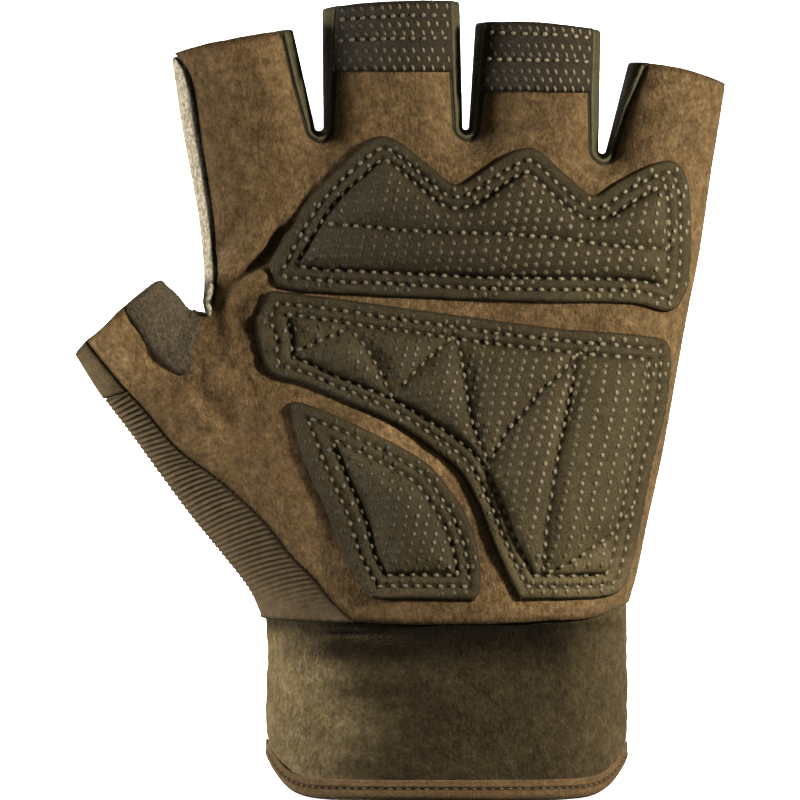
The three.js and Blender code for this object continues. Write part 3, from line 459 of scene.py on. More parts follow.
def around_slot(index, share, distance):
    """Points at a distance from a slot, walked from the left fingertip (0) round its bottom (0.5) to the right
    one (1): straight down one side, round an arc, and straight up the other."""
    xl, zl, rl, xh, zh, rh = SLOTS[index]
    share, distance = np.broadcast_arrays(np.asarray(share, float), np.asarray(distance, float))
    length = math.hypot(xh - xl, zh - zl)
    dx, dz = (xh - xl) / length, (zh - zl) / length
    hand = np.where(share < 0.5, -1.0, 1.0)
    away = np.abs(share - 0.5)
    reach = rl + distance
    turn = np.minimum(away / SLOT_BEND, 1)
    turn = hand * turn * (math.pi / 2) + math.atan2(dx, dz) * (1 - turn)
    side, down = np.sin(turn) * reach, np.cos(turn) * reach
    round_part = np.stack([xl + dz * side - dx * down, zl - dx * side - dz * down], -1)

    def walk(t):
        radius = mix(rl, rh, t / length) + distance
        return np.stack([xl + dx * t + hand * dz * radius, zl + dz * t - hand * dx * radius], -1)

    top = np.full(share.shape, length * 0.7)
    left, right = TIPS[index], TIPS[index + 1]
    for _ in range(SEARCH_ROUNDS):
        point = walk(top)
        line = np.where(hand < 0, tip_height(left, point[..., 0]), tip_height(right, point[..., 0]))
        top = top + (line - point[..., 1]) / dz
    straight = walk(top * (away - SLOT_BEND) / (0.5 - SLOT_BEND))
    return np.where((away <= SLOT_BEND)[..., None], round_part, straight)


def seam_at(index, share, change=0.0):
    """Distance of a seam from its slot, through the rows of the table from the bottom up either side."""
    bottom, left, right = SLOT_SEAMS[index]
    share = np.asarray(share, float)
    away = np.abs(share - 0.5)
    left = np.interp(away, SEAM_SHARES, (bottom, *left))
    right = np.interp(away, SEAM_SHARES, (bottom, *right))
    return np.where(share < 0.5, left, right) + change


def outline_at(line, z, inward, hand):
    """Point on a rising outline at a height, moved square to it by a distance."""
    z = np.asarray(z, float)
    i = np.clip(np.searchsorted(line[:, 1], z, side="left"), 1, len(line) - 1)
    a, b = line[i - 1], line[i]
    t = (z - a[..., 1]) / (b[..., 1] - a[..., 1])
    length = np.hypot(b[..., 0] - a[..., 0], b[..., 1] - a[..., 1])
    x = mix(a[..., 0], b[..., 0], t) + hand * inward * (b[..., 1] - a[..., 1]) / length
    return np.stack([x, z - hand * inward * (b[..., 0] - a[..., 0]) / length], -1)


# the notch between thumb and index parts the web line into the index finger's outer side and the web's edge,
# which is turned round to run from the notch to the thumb opening
NOTCH = int(np.argmax((WEB_LINE[:, 0] > -51.6) & (WEB_LINE[:, 1] < 104)))
INDEX_LINE = WEB_LINE[NOTCH:]
NOTCH_Z = INDEX_LINE[0, 1]
WEB_END = (-60.3, 107.3)
WEB_EDGE = WEB_LINE[:NOTCH]
WEB_EDGE = np.concatenate([WEB_EDGE[WEB_EDGE[:, 0] > WEB_END[0] + 0.1][::-1], [WEB_END]])
# the thumb's outer side from the cuff to the thumb opening
THUMB_EDGE = sampled(THUMB_SIDE[3:11], 60)


def strip_wide(z, side):
    """Width of the index strip: from its table on the palm, and a little more on the back, up to a limit."""
    wide = hermite(SIDE_STRIP[:, 0], SIDE_STRIP[:, 1], z)
    return wide if side < 0 else np.minimum(BACK_STRIP_WIDE, wide * 1.2 + 0.3)


def index_edge(z, side, change):
    """Flat point on the index strip's seam at a height, never below the notch."""
    z = np.maximum(z, NOTCH_Z + 0.05)
    return outline_at(INDEX_LINE, z, strip_wide(z, side) + change, 1)


def thumb_edge_at(share, inward):
    """Point on the thumb's outer outline by share from the cuff, moved inwards."""
    at = np.minimum(np.asarray(share, float), 0.9999) * (len(THUMB_EDGE) - 1)
    i = np.floor(at).astype(int)
    a, b = THUMB_EDGE[i], THUMB_EDGE[i + 1]
    f = at - i
    length = np.hypot(b[..., 0] - a[..., 0], b[..., 1] - a[..., 1])
    x = mix(a[..., 0], b[..., 0], f) + inward * (b[..., 1] - a[..., 1]) / length
    return np.stack([x, mix(a[..., 1], b[..., 1], f) - inward * (b[..., 0] - a[..., 0]) / length], -1)


# shares along a column line below, up to and beside the slots, and across a finger
LOW = np.linspace(0, 1, 91)
HIGH = np.linspace(0, 1, 53)[1:]
FINGER = [SLOT_BEND * np.linspace(0, 1, 11)[1:], SLOT_BEND + (0.5 - SLOT_BEND) * np.linspace(0, 1, 37)[1:]]
FINGER = np.concatenate(FINGER)
ACROSS = np.linspace(0, 1, 41)


def spread_out(share):
    """Even shares drawn towards both ends: three quarters of the way to half a cosine wave."""
    return mix(share, 0.5 - 0.5 * np.cos(np.pi * share), 0.75)


SPACED = spread_out(ACROSS)


def back_cuff_corner():
    """Flat corner of the back where its lower edge meets the rib panel."""
    return np.array([thumb_edge_at(0.0, RIB_BACK_WIDE + HALF_GAP)[0], BACK_CUFF_Z])


def settle(tip, z, place):
    """Height at which a line meets a finger opening: moved by what is missing, over and over."""
    for _ in range(SEARCH_ROUNDS):
        z = z + tip_height(tip, place(z)[0]) - place(z)[1]
    return z


def line_rows(line, hand, side):
    """Flat points up one column line: from the cuff to the notch level, on to the slot bottom, then up the
    finger. hand says on which side of a slot the finger is."""
    cx, cz, mx, mz = COLUMN_LINES[line]
    if line == 0:
        notch = NOTCH_Z + START_ABOVE_NOTCH
        if side > 0:
            cx, cz = back_cuff_corner()
            mx += BACK_ROOT_SHIFT
        low = trace([(cx, cz), (mx, mz), index_edge(notch, side, HALF_GAP)], LOW)
        high = index_edge(mix(notch, INDEX_SHOULDER, HIGH), side, HALF_GAP)
        top = settle(TIPS[0], INDEX_TOP, lambda z: index_edge(z, side, HALF_GAP))
        tall = index_edge(mix(INDEX_SHOULDER, top, FINGER * 2), side, HALF_GAP)
        return np.concatenate([low, high, tall])
    if line == 4:

        def edge(z):
            return outline_at(RIGHT_LINE, z, 0.0, -1)

        top = settle(TIPS[3], LITTLE_TOP, edge)
        parts = [mix(cz, mz, LOW), mix(mz, LITTLE_SHOULDER, HIGH), mix(LITTLE_SHOULDER, top, FINGER * 2)]
        return edge(np.concatenate(parts))
    bottom = around_slot(line - 1, 0.5, SLOT_SEAMS[line - 1][0] + HALF_GAP)
    low = trace([(cx, cz), (mx, mz)], LOW)
    high = mix(np.array([mx, mz]), bottom, HIGH[:, None])
    walk = 0.5 + hand * FINGER
    return np.concatenate([low, high, around_slot(line - 1, walk, seam_at(line - 1, walk, HALF_GAP))])


def shifted(points, amount):
    """A flat line moved square to itself by an amount."""
    d = unit(np.gradient(points, axis=0))
    return points + amount * np.stack([d[:, 1], -d[:, 0]], 1)


# the little finger's column sags by this much at the cuff, fading over this height
LITTLE_SAG = 1.1
LITTLE_SAG_TALL = 4.0
EVENING_ROUNDS = 30
FAN_STEPS = 84


def face_grids(side):
    """Four finger columns and the thumb fan of one face, each a grid of flat points between its two side lines.
    A column is evened out: each inner point goes to the mean of its neighbours, over and over. The fan runs
    between the rib seam and the web, and bends with the first column line at its root."""
    grids = []
    rows_low = len(LOW) + len(HIGH)
    for finger in range(4):
        left, right = line_rows(finger, 1, side), line_rows(finger + 1, -1, side)
        flat = mix(left[:, None], right[:, None], SPACED[None, :, None])
        grow = (np.concatenate([np.zeros(rows_low), FINGER * 2]) ** 2)[:, None]
        x = flat[..., 0]
        level = mix(left[-1, 1], right[-1, 1], SPACED)
        flat[..., 1] += grow * (tip_height(TIPS[finger], x[-1]) - level) * (np.sin(np.pi * ACROSS) > 1e-6)
        if finger == 3:
            sag = bell((flat[..., 1] - flat[:1, :, 1]) / LITTLE_SAG_TALL)
            flat[..., 1] -= LITTLE_SAG * sag * np.sin(np.pi * SPACED)
        for _ in range(EVENING_ROUNDS):
            around = flat[:-2, 1:-1] + flat[2:, 1:-1] + flat[1:-1, :-2] + flat[1:-1, 2:]
            flat[1:-1, 1:-1] = around / 4
        grids.append(flat)
    root = line_rows(0, 1, side)[: len(LOW)]
    share = np.linspace(0, 1, FAN_STEPS + 1)
    if side < 0:
        outer = shifted(trace(RIB_SEAM, share), HALF_GAP)
    else:
        pull = np.exp(-share / CORNER_PULL)[:, None]
        outer = mix(thumb_edge_at(share, RIB_BACK_WIDE + HALF_GAP), back_cuff_corner(), pull)
    outer[0] = root[0]
    web = trace(WEB_EDGE, share)
    web[0] = root[-1]
    t = spread_out(LOW)
    fan = mix(outer[:, None], web[:, None], t[None, :, None])
    own = root - mix(root[0], root[-1], t[:, None])
    fan += ((1 - share) ** 1.5)[:, None, None] * own[None]
    fan[0] = root
    grids.append(fan)
    return grids


# Meshes
def cell_quads(ids):
    """The four numbers round each cell of a grid of point numbers."""
    return np.stack([ids[:-1, :-1], ids[:-1, 1:], ids[1:, 1:], ids[1:, :-1]], -1)


def weld(grids):
    """One mesh from grids of points: equal points become one vertex, grid cells become quads."""
    points = np.concatenate([g.reshape(-1, 3) for g in grids])
    keys = np.round(points / WELD).astype(np.int64)
    _, first, back = np.unique(keys, axis=0, return_index=True, return_inverse=True)
    back = back.reshape(-1)
    quads, start = [], 0
    for g in grids:
        r, c = g.shape[:2]
        ids = back[start : start + r * c].reshape(r, c)
        quads.append(cell_quads(ids).reshape(-1, 4))
        start += r * c
    quads = np.concatenate(quads)
    good = (quads[:, 0] != quads[:, 1]) & (quads[:, 1] != quads[:, 2])
    good &= (quads[:, 2] != quads[:, 3]) & (quads[:, 3] != quads[:, 0])
    return points[first], quads[good]


def face_out(grid):
    """One grid's mesh, its quads turned round to face out."""
    points, quads = weld([grid])
    return points, quads[:, ::-1]


def vertex_normals(points, quads):
    """Unit normal at each point: the sum over its quads of the cross product of their diagonals."""
    n = np.cross(points[quads[:, 2]] - points[quads[:, 0]], points[quads[:, 3]] - points[quads[:, 1]])
    total = np.zeros_like(points)
    for k in range(4):
        for axis in range(3):
            total[:, axis] += np.bincount(quads[:, k], weights=n[:, axis], minlength=len(points))
    return unit(total)


def border_edges(quads, count):
    """Both ends of every edge that only one quad uses, in that quad's order."""
    a = quads.reshape(-1)
    b = np.roll(quads, -1, axis=1).reshape(-1)
    code, reverse = a * count + b, b * count + a
    free = ~np.isin(code, reverse)
    return a[free], b[free]


# a wall's rim: share of the thickness that its corners are eased by, how far it bows out, and its two
# middle rings as share of the thickness and of the bow
RIM_EASE = 0.16
RIM_BOW = 0.16
RIM_RINGS = ((0.34, 0.75), (0.66, 0.75))


def thicken(points, quads, thick, level=None):
    """Closed wall from a sheet: the sheet, its copy set in by the thickness, and rims bowed slightly outwards.
    level marks points whose inward direction is kept flat, where two faces meet on the side line."""
    normals = vertex_normals(points, quads)
    if level is not None:
        normals[level] = unit(normals[level] * (1, 0, 1))
    count = len(points)
    p, q = border_edges(quads, count)
    along = points[q] - points[p]
    out = np.zeros_like(points)
    for k in (p, q):
        for axis in range(3):
            w = np.cross(along, (normals[p] + normals[q]) / 2)[:, axis]
            out[:, axis] += np.bincount(k, weights=w, minlength=count)
    edge = np.unique(np.concatenate([p, q]))
    out[edge] = unit(out[edge])
    ease, bow = normals[edge] * thick * RIM_EASE, out[edge] * RIM_BOW
    outer = points.copy()
    outer[edge] -= ease + bow * 0.6
    inner = points - normals * thick
    inner[edge] += ease - bow * 0.6
    mids = [points[edge] - normals[edge] * thick * deep + bow * wide for deep, wide in RIM_RINGS]
    on_edge = np.full(count, -1)
    on_edge[edge] = np.arange(len(edge))
    first = 2 * count + on_edge
    rings = [np.arange(count), first, first + len(edge), np.arange(count) + count]
    faces = [quads, quads[:, ::-1] + count]
    for a, b in zip(rings[:-1], rings[1:]):
        faces.append(np.stack([a[q], a[p], b[p], b[q]], 1))
    return np.concatenate([outer, inner] + mids), np.concatenate(faces)


def build(name, points, faces, material, node=None, attributes=None):
    """A mesh object from points in millimetres and quads, moved with the glove. Each attribute is one number a
    point."""
    mesh = bpy.data.meshes.new(name)
    faces = np.asarray(faces)
    size = faces.shape[1]
    mesh.vertices.add(len(points))
    mesh.vertices.foreach_set("co", (np.asarray(points) * MM).astype(np.float32).ravel())
    mesh.loops.add(faces.size)
    mesh.loops.foreach_set("vertex_index", faces.astype(np.int32).ravel())
    mesh.polygons.add(len(faces))
    mesh.polygons.foreach_set("loop_start", (np.arange(len(faces)) * size).astype(np.int32))
    mesh.polygons.foreach_set("use_smooth", np.ones(len(faces), bool))
    mesh.update(calc_edges=True)
    mesh.validate()
    for key, values in (attributes or {}).items():
        data = mesh.attributes.new(key, "FLOAT", "POINT")
        full = np.zeros(len(mesh.vertices), np.float32)
        full[: len(values)] = values
        data.data.foreach_set("value", full)
    mesh.materials.append(material)
    obj = bpy.data.objects.new(name, mesh)
    bpy.context.scene.collection.objects.link(obj)
    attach(obj, "root")
    if node:
        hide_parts(node)
    return obj


def grid_faces(rows, cols, wrap=False):
    """Quads between the rows and columns of a grid, where it wraps also from its last column to its first."""
    ids = np.arange(rows * cols).reshape(rows, cols)
    if wrap:
        ids = np.concatenate([ids, ids[:, :1]], 1)
    return cell_quads(ids).reshape(-1, 4)


def wall(name, points, quads, thick, material, shade):
    """A piece from a sheet given its thickness, in place of the CAD node of its name."""
    verts, faces = thicken(points, quads, thick)
    return build(name, verts, faces, material, name, {"shade": shade})


def beads(places, along, out, size, rows=5, ring=8):
    """Many small ellipsoids in one mesh: a unit ball's points, scaled along three directions at each place."""
    lat = np.linspace(0, math.pi, rows + 1)
    lon = np.linspace(0, 2 * math.pi, ring, endpoint=False)
    ball = np.stack(
        [
            np.cos(lat)[:, None] * np.ones(ring),
            np.sin(lat)[:, None] * np.cos(lon),
            np.sin(lat)[:, None] * np.sin(lon),
        ],
        -1,
    ).reshape(-1, 3)
    across = np.cross(along, out)
    size = np.broadcast_to(np.asarray(size, float), (len(places), 3))
    axes = np.stack([along * size[:, :1], across * size[:, 1:2], out * size[:, 2:3]], 1)
    points = places[:, None, :] + np.einsum("pk,nkj->npj", ball, axes)
    quads = grid_faces(rows + 1, ring, True)
    faces = (quads[None] + (np.arange(len(places)) * len(ball))[:, None, None]).reshape(-1, 4)
    return points.reshape(-1, 3), faces


def walk_line(line, pitch, closed=False):
    """Evenly spaced points and directions along a polyline."""
    if closed:
        line = np.concatenate([line, line[:1]])
    steps = np.linalg.norm(np.diff(line, axis=0), axis=1)
    at = np.concatenate([[0], np.cumsum(steps)])
    count = max(int(round(at[-1] / pitch)), 1)
    spots = (np.arange(count) + 0.5) * at[-1] / count

    def at_spots(shift):
        return np.stack([np.interp(spots + shift, at, line[:, k]) for k in range(line.shape[1])], 1)

    return at_spots(0), unit(at_spots(0.2) - at_spots(-0.2))


def inset(pad, distance):
    """Closed line inside a pad's outline at a weighted distance: the outline's points moved in along their
    normals, those that come too near dropped."""
    outline = pad["outline"]
    dense, along = walk_line(outline, 0.5, True)
    area = 0.5 * np.sum(dense[:, 0] * np.roll(dense[:, 1], -1) - dense[:, 1] * np.roll(dense[:, 0], -1))
    inward = np.stack([-along[:, 1], along[:, 0]], 1) * np.sign(area)
    moved = dense + inward * (distance / row_weight(pad, dense[:, 0], dense[:, 1]))[:, None]
    far = line_distance(pad["closed"], moved[:, 0], moved[:, 1], pad["weights"])
    return moved[(far > distance - 0.12) & inside(outline, moved[:, 0], moved[:, 1])]


# Materials
# colour that a fully shaded place is multiplied with, and the depth of a cloth's nap in metres
DARK_TINT = (0.13, 0.11, 0.09, 1)
NAP_DEEP = 0.0007


def node_tree(name):
    """A new material with its tree, its shader and Object coordinates."""
    material = bpy.data.materials.new(name)
    material.use_nodes = True
    tree = material.node_tree
    shader = tree.nodes["Principled BSDF"]
    coords = tree.nodes.new("ShaderNodeTexCoord")
    return material, tree, shader, coords.outputs["Object"]


def srgb(r, g, b):
    """Linear colour from an eye-value colour of 0 to 255 a channel."""
    values = [c / 255 for c in (r, g, b)]
    return tuple(c / 12.92 if c <= 0.04045 else ((c + 0.055) / 1.055) ** 2.4 for c in values) + (1.0,)


def noise_node(tree, coords, scale, detail=3.0, rough=0.55, stretch=None):
    """Fractal noise of the coordinates, which are scaled along each axis by stretch where it is given."""
    if stretch:
        mapping = tree.nodes.new("ShaderNodeMapping")
        mapping.inputs["Scale"].default_value = stretch
        tree.links.new(coords, mapping.inputs["Vector"])
        coords = mapping.outputs["Vector"]
    noise = tree.nodes.new("ShaderNodeTexNoise")
    noise.inputs["Scale"].default_value = scale
    noise.inputs["Detail"].default_value = detail
    noise.inputs["Roughness"].default_value = rough
    tree.links.new(coords, noise.inputs["Vector"])
    return noise.outputs["Fac"]


def ramp_node(tree, value, stops):
    """Colour from a value, by stops of place and colour."""
    ramp = tree.nodes.new("ShaderNodeValToRGB")
    elements = ramp.color_ramp.elements
    while len(elements) < len(stops):
        elements.new(0.5)
    for element, (place, colour) in zip(elements, stops):
        element.position = place
        element.color = colour
    tree.links.new(value, ramp.inputs["Fac"])
    return ramp.outputs["Color"]


def mix_node(tree, kind, factor, a, b):
    """Two colours blended; each input is a number, a colour or another node's output."""
    node = tree.nodes.new("ShaderNodeMix")
    node.data_type = "RGBA"
    node.blend_type = kind
    for socket, value in ((node.inputs[0], factor), (node.inputs[6], a), (node.inputs[7], b)):
        if isinstance(value, (int, float, tuple)):
            socket.default_value = value
        else:
            tree.links.new(value, socket)
    return node.outputs[2]


def attribute_node(tree, name, output="Fac"):
    """The piece's own attribute."""
    node = tree.nodes.new("ShaderNodeAttribute")
    node.attribute_name = name
    return node.outputs[output]


def bump_node(tree, shader, height, strength, distance):
    """A height made into the shader's bump."""
    node = tree.nodes.new("ShaderNodeBump")
    node.inputs["Strength"].default_value = strength
    node.inputs["Distance"].default_value = distance
    tree.links.new(height, node.inputs["Height"])
    tree.links.new(node.outputs["Normal"], shader.inputs["Normal"])


def grey(level):
    """A grey above or below 1, to multiply a colour with."""
    return (level, level, level, 1)


def cloth_material(
    name, stops, blotch, fine, bump, rough, sheen, spec, shade=True, stretch=None, wide=None, tone=False
):
    """Cloth: blotches of colour from a soft noise, a finer speckle, wide bands where they are asked for, times
    the attribute of painted light and shade with some of the cloth's own tone, darker by painted shade where
    the shade attribute is high, and a nap as bump from a second noise."""
    material, tree, shader, coords = node_tree(name)
    slow = noise_node(tree, coords, blotch, 5.0, 0.7)
    colour = ramp_node(tree, slow, stops)
    grain = noise_node(tree, coords, fine, 3.0, 0.7, stretch)
    speckle = ramp_node(tree, grain, [(0.32, grey(0.5)), (0.68, grey(1.3))])
    colour = mix_node(tree, "MULTIPLY", 0.75, colour, speckle)
    if wide:
        slow = noise_node(tree, coords, wide, 2.0, 0.5)
        band = ramp_node(tree, slow, [(0.35, grey(0.82)), (0.65, grey(1.12))])
        colour = mix_node(tree, "MULTIPLY", 0.6, colour, band)
    # painted light and shade, with some of the cloth's own tone, multiplied in from the piece's attribute
    if tone:
        colour = mix_node(tree, "MULTIPLY", 1.0, colour, attribute_node(tree, "tone", "Color"))
    if shade:
        colour = mix_node(tree, "MULTIPLY", attribute_node(tree, "shade"), colour, DARK_TINT)
    tree.links.new(colour, shader.inputs["Base Color"])
    shader.inputs["Roughness"].default_value = rough
    shader.inputs["Specular IOR Level"].default_value = spec
    if sheen:
        shader.inputs["Sheen Weight"].default_value = sheen
        shader.inputs["Sheen Roughness"].default_value = 0.35
        shader.inputs["Sheen Tint"].default_value = srgb(196, 172, 128)
    bump_node(tree, shader, noise_node(tree, coords, fine * 0.8, 4.0, 0.75, stretch), bump, NAP_DEEP)
    return material


suede = cloth_material(
    "suede",
    [(0.3, srgb(74, 58, 36)), (0.5, srgb(98, 78, 51)), (0.7, srgb(120, 98, 67))],
    blotch=480,
    fine=1400,
    bump=1.0,
    rough=0.95,
    sheen=0.3,
    spec=0.06,
    wide=60,
    stretch=(1, 1, 0.8),
    tone=True,
)
back_cloth = cloth_material(
    "back_cloth",
    [(0.3, srgb(72, 56, 35)), (0.7, srgb(108, 87, 59))],
    blotch=480,
    fine=1500,
    bump=0.95,
    rough=0.95,
    sheen=0.12,
    spec=0.1,
    wide=60,
    tone=True,
)
cuff_cloth = cloth_material(
    "cuff_cloth",
    [(0.28, srgb(42, 35, 22)), (0.5, srgb(54, 46, 30)), (0.72, srgb(67, 58, 40))],
    blotch=500,
    fine=1300,
    bump=1.0,
    rough=0.95,
    sheen=0.5,
    spec=0.05,
    wide=60,
    stretch=(1.0, 1.0, 0.85),
    tone=True,
)


def plain_cloth(name, dark, light, blotch, fine, bump, rough, sheen, spec, **more):
    """Cloth between two colours."""
    stops = [(0.3, srgb(*dark)), (0.7, srgb(*light))]
    return cloth_material(name, stops, blotch, fine, bump, rough, sheen, spec, **more)


# name, dark and light colour, sizes of blotch and nap, bump, roughness, sheen, specular
olive = plain_cloth("olive_cloth", (50, 46, 28), (72, 67, 44), 500, 2600, 0.5, 0.9, 0.1, 0.15)
# a lighter copy of the olive cloth without shade for the seam rolls: a painted highlight along the seams
olive_roll_highlight = plain_cloth(
    "olive_roll_highlight", (60, 56, 36), (84, 78, 54), 500, 2600, 0.4, 0.85, 0.1, 0.2, shade=False
)
rib_cloth = plain_cloth("rib_knit", (76, 63, 44), (100, 84, 60), 500, 2800, 0.5, 0.92, 0.1, 0.12)
band_cloth = plain_cloth("thumb_band_cloth", (74, 61, 40), (96, 81, 56), 420, 2400, 0.5, 0.95, 0.1, 0.12)
patch_cloth = plain_cloth("dark_grip_cloth", (70, 61, 46), (96, 85, 66), 900, 1800, 1.0, 0.85, 0.0, 0.12)
pad_cloth = plain_cloth("grip_pad", (47, 40, 24), (63, 55, 35), 600, 2200, 0.7, 0.7, 0.0, 0.12, tone=True)
pip_rubber = plain_cloth(
    "grip_pips", (56, 49, 33), (76, 67, 48), 600, 2600, 0.12, 0.5, 0.0, 0.32, shade=False, tone=True
)
tip_cloth = plain_cloth("perforated_band", (36, 31, 21), (50, 43, 30), 600, 2200, 0.7, 0.7, 0.0, 0.12)
thread = plain_cloth(
    "thread", (92, 83, 63), (124, 114, 90), 900, 3000, 0.4, 0.7, 0.0, 0.25, shade=False, tone=True
)
tape = plain_cloth("binding_tape", (81, 63, 38), (107, 85, 54), 600, 2400, 0.6, 0.85, 0.1, 0.2)


def speckled_material():
    """Pale knit: stone grey broken by small dark olive flecks."""
    material, tree, shader, coords = node_tree("pale_cloth")
    flecks = [(0.36, srgb(96, 89, 70)), (0.5, srgb(138, 129, 108)), (0.64, srgb(168, 159, 138))]
    colour = ramp_node(tree, noise_node(tree, coords, 1100, 3.0, 0.7), flecks)
    colour = mix_node(tree, "MULTIPLY", attribute_node(tree, "shade"), colour, DARK_TINT)
    tree.links.new(colour, shader.inputs["Base Color"])
    shader.inputs["Roughness"].default_value = 0.85
    shader.inputs["Specular IOR Level"].default_value = 0.2
    bump_node(tree, shader, noise_node(tree, coords, 1500, 3.0, 0.7), 0.7, 0.0004)
    return material


pale = speckled_material()


# Suede palm and plain back
def edge_shade(points, quads, reach, strength):
    """Darkening near a sheet's free edges, fading with the distance from the nearest edge point, and that
    distance."""
    p, _ = border_edges(quads, len(points))
    edge = points[p][::2]
    near = np.empty(len(points))
    for s in range(0, len(points), 4000):
        d = points[s : s + 4000, None] - edge
        near[s : s + 4000] = np.sqrt((d * d).sum(-1).min(1))
    return strength * bell(near / reach), near


def side_level(points):
    """True where the palm face and the back almost meet."""
    x, z = points[:, 0], points[:, 2]
    return body_y(x, z, 1, False) - body_y(x, z, -1, False) < 1.2


# painted light and shade on the palm suede: x, z, width, height, change of lightness
PAINTED_SUEDE_LIGHT = [
    (-10, 77, 5.5, 4.5, 0.6),
    (-1, 68.5, 5, 6, 0.6),
    (22, 41, 18, 3.5, 0.45),
    (-67.0, 91.0, 11.0, 13.0, 0.8),
    (-50.0, 78.0, 13.0, 9.0, 0.12),
    (-45.0, 138.0, 10.0, 24.0, -0.2),
    (-43.0, 100.0, 6.5, 8.0, -0.3),
    (-41.0, 106.6, 4.5, 2.2, 0.4),
    (-44.3, 112.0, 2.6, 4.0, 0.3),
    (-12.0, 145.0, 13.0, 14.0, -0.14),
    (20.0, 141.0, 12.0, 14.0, -0.26),
    (-33.0, 50.0, 12.0, 12.0, 0.35),
    (0.0, 39.0, 26.0, 4.0, -0.2),
]


def bells(table, x, z):
    """1 plus the sum of the table's bell curves: x, z, width, height, change."""
    tone = np.ones(len(x))
    for bx, bz, wide, tall, change in table:
        tone = tone + change * np.exp(-(((x - bx) / wide) ** 2) - ((z - bz) / tall) ** 2)
    return tone


def nap_tone(x, z, side):
    """Lightness of the suede: bell curves of painted light and shade on the palm, and two waves of noise."""
    tone = bells(PAINTED_SUEDE_LIGHT if side < 0 else [], x, z)
    return tone * (1 + 0.1 * value_noise(x + 120, z, 9.0, 61) + 0.07 * value_noise(x + 120, z, 3.6, 62))


def panel(name, side, thick, material):
    """The palm or the back: its grids as one wall, rolled in, with painted shade at the seams and in the folds.
    """
    grids = [on_body(flat, side) for flat in face_grids(side)]
    points, quads = weld(grids)
    if side > 0:
        quads = quads[:, ::-1]
    shade, near = edge_shade(points, quads, 0.9, 0.75)
    normals = vertex_normals(points, quads)
    points = points - normals * (0.3 * bell(near / 0.8))[:, None]
    if side < 0:
        # painted shade in the folds
        folds = np.clip(fold_depth(points[:, 0], points[:, 2]) / 2.4, 0, 1)
        shade = np.maximum(shade, folds * 0.5)
    verts, faces = thicken(points, quads, thick, side_level(points))
    # painted light and shade on the palm face, and noise in the hide's lightness on both faces
    tone = nap_tone(verts[:, 0], verts[:, 2], side)
    return build(name, verts, faces, material, name, {"shade": shade, "tone": tone})


palm = panel("palm_panel", -1, SUEDE_THICK, suede)
back = panel("back_panel", 1, BACK_THICK, back_cloth)


# Strips between the fingers
def strip_section(index, share, steps=14):
    """Rows of points round a slot: the distance from it goes from the palm seam to 0 and on to the back seam
    along a circle."""
    opening = np.arccos(1 - seam_at(index, share, -HALF_GAP) / FINGER_ROUND)
    rows = []
    for q in np.linspace(-1, 1, 2 * steps + 1):
        flat = around_slot(index, share, FINGER_ROUND * (1 - np.cos(abs(q) * opening)))
        rows.append(side_point(flat) if abs(q) < 1e-6 else on_body(flat, -1 if q < 0 else 1))
    return np.stack(rows, 1)


def tube(path, radius, ring, out):
    """Round cord along a path: a circle square to the path at each point, drawn in almost to a point at both
    ends."""
    d = unit(np.gradient(path, axis=0))
    u = unit(np.cross(d, out))
    v = np.cross(u, d)
    turn = np.linspace(0, 2 * math.pi, ring, endpoint=False)
    r = np.full(len(path), radius, float)
    r[0] = r[-1] = 0.02
    circle = np.cos(turn)[:, None] * u[:, None] + np.sin(turn)[:, None] * v[:, None]
    points = path[:, None] + r[:, None, None] * circle
    return points.reshape(-1, 3), grid_faces(len(path), ring, True)


def join(parts):
    """One mesh from several, each one's point numbers moved on by the points before it."""
    points, faces, start = [], [], 0
    for p, f in parts:
        points.append(p)
        faces.append(f + start)
        start += len(p)
    return np.concatenate(points), np.concatenate(faces)


rolls = []
share = np.concatenate(
    [np.linspace(0, 0.38, 50), np.linspace(0.38, 0.62, 34)[1:-1], np.linspace(0.62, 1, 50)]
)
for index, slot_name in enumerate(("index_middle", "middle_ring", "ring_little")):
    points, quads = face_out(strip_section(index, share))
    shade, _ = edge_shade(points, quads, 0.7, 0.7)
    obj = wall(f"fourchette_{slot_name}", points, quads, STRIP_THICK, olive, shade)
    for side in (-1, 1):
        flat = around_slot(index, share[1:-1], seam_at(index, share[1:-1], -0.5))
        place, out = surface(flat[:, 0], flat[:, 1], side)
        rolls.append(tube(place + out * 0.16, 0.42, 8, out))
points, faces = join(rolls)
roll = build("seam_rolls", points, faces, olive_roll_highlight)

# Pale strip along the index finger
# heights of its rows, closer together at the notch and at the fingertip
STRIP_ROWS = np.concatenate(
    [NOTCH_Z + np.array([0.9, 1.8]), np.linspace(NOTCH_Z + 2.8, 152.0, 80), np.linspace(152.4, 153.8, 4)]
)
# depth that the palm side's seam allowance sinks by
SINK = 1.35


def index_section(steps=12):
    """Rows up the strip, round the side on a circle from the palm seam to the back seam. On the palm the strip
    runs on under the suede, sunk below it."""
    rows = []
    for q in np.linspace(-1, 1, 2 * steps + 1):
        side = -1 if q < 0 else 1
        seam = strip_wide(STRIP_ROWS, side)
        wide = seam + 1.2 * smooth(0.3, 1.5, seam) if side < 0 else np.maximum(seam - HALF_GAP, 0.06)
        opening = np.arccos(1 - wide / FINGER_ROUND)
        inward = FINGER_ROUND * (1 - np.cos(abs(q) * opening))
        flat = outline_at(INDEX_LINE, STRIP_ROWS, inward, 1)
        points = side_point(flat) if abs(q) < 1e-6 else on_body(flat, side)
        if side < 0:
            points[:, 1] += SINK * smooth(0.78, 1.0, inward / seam)
        rows.append(points)
    return np.stack(rows, 1)


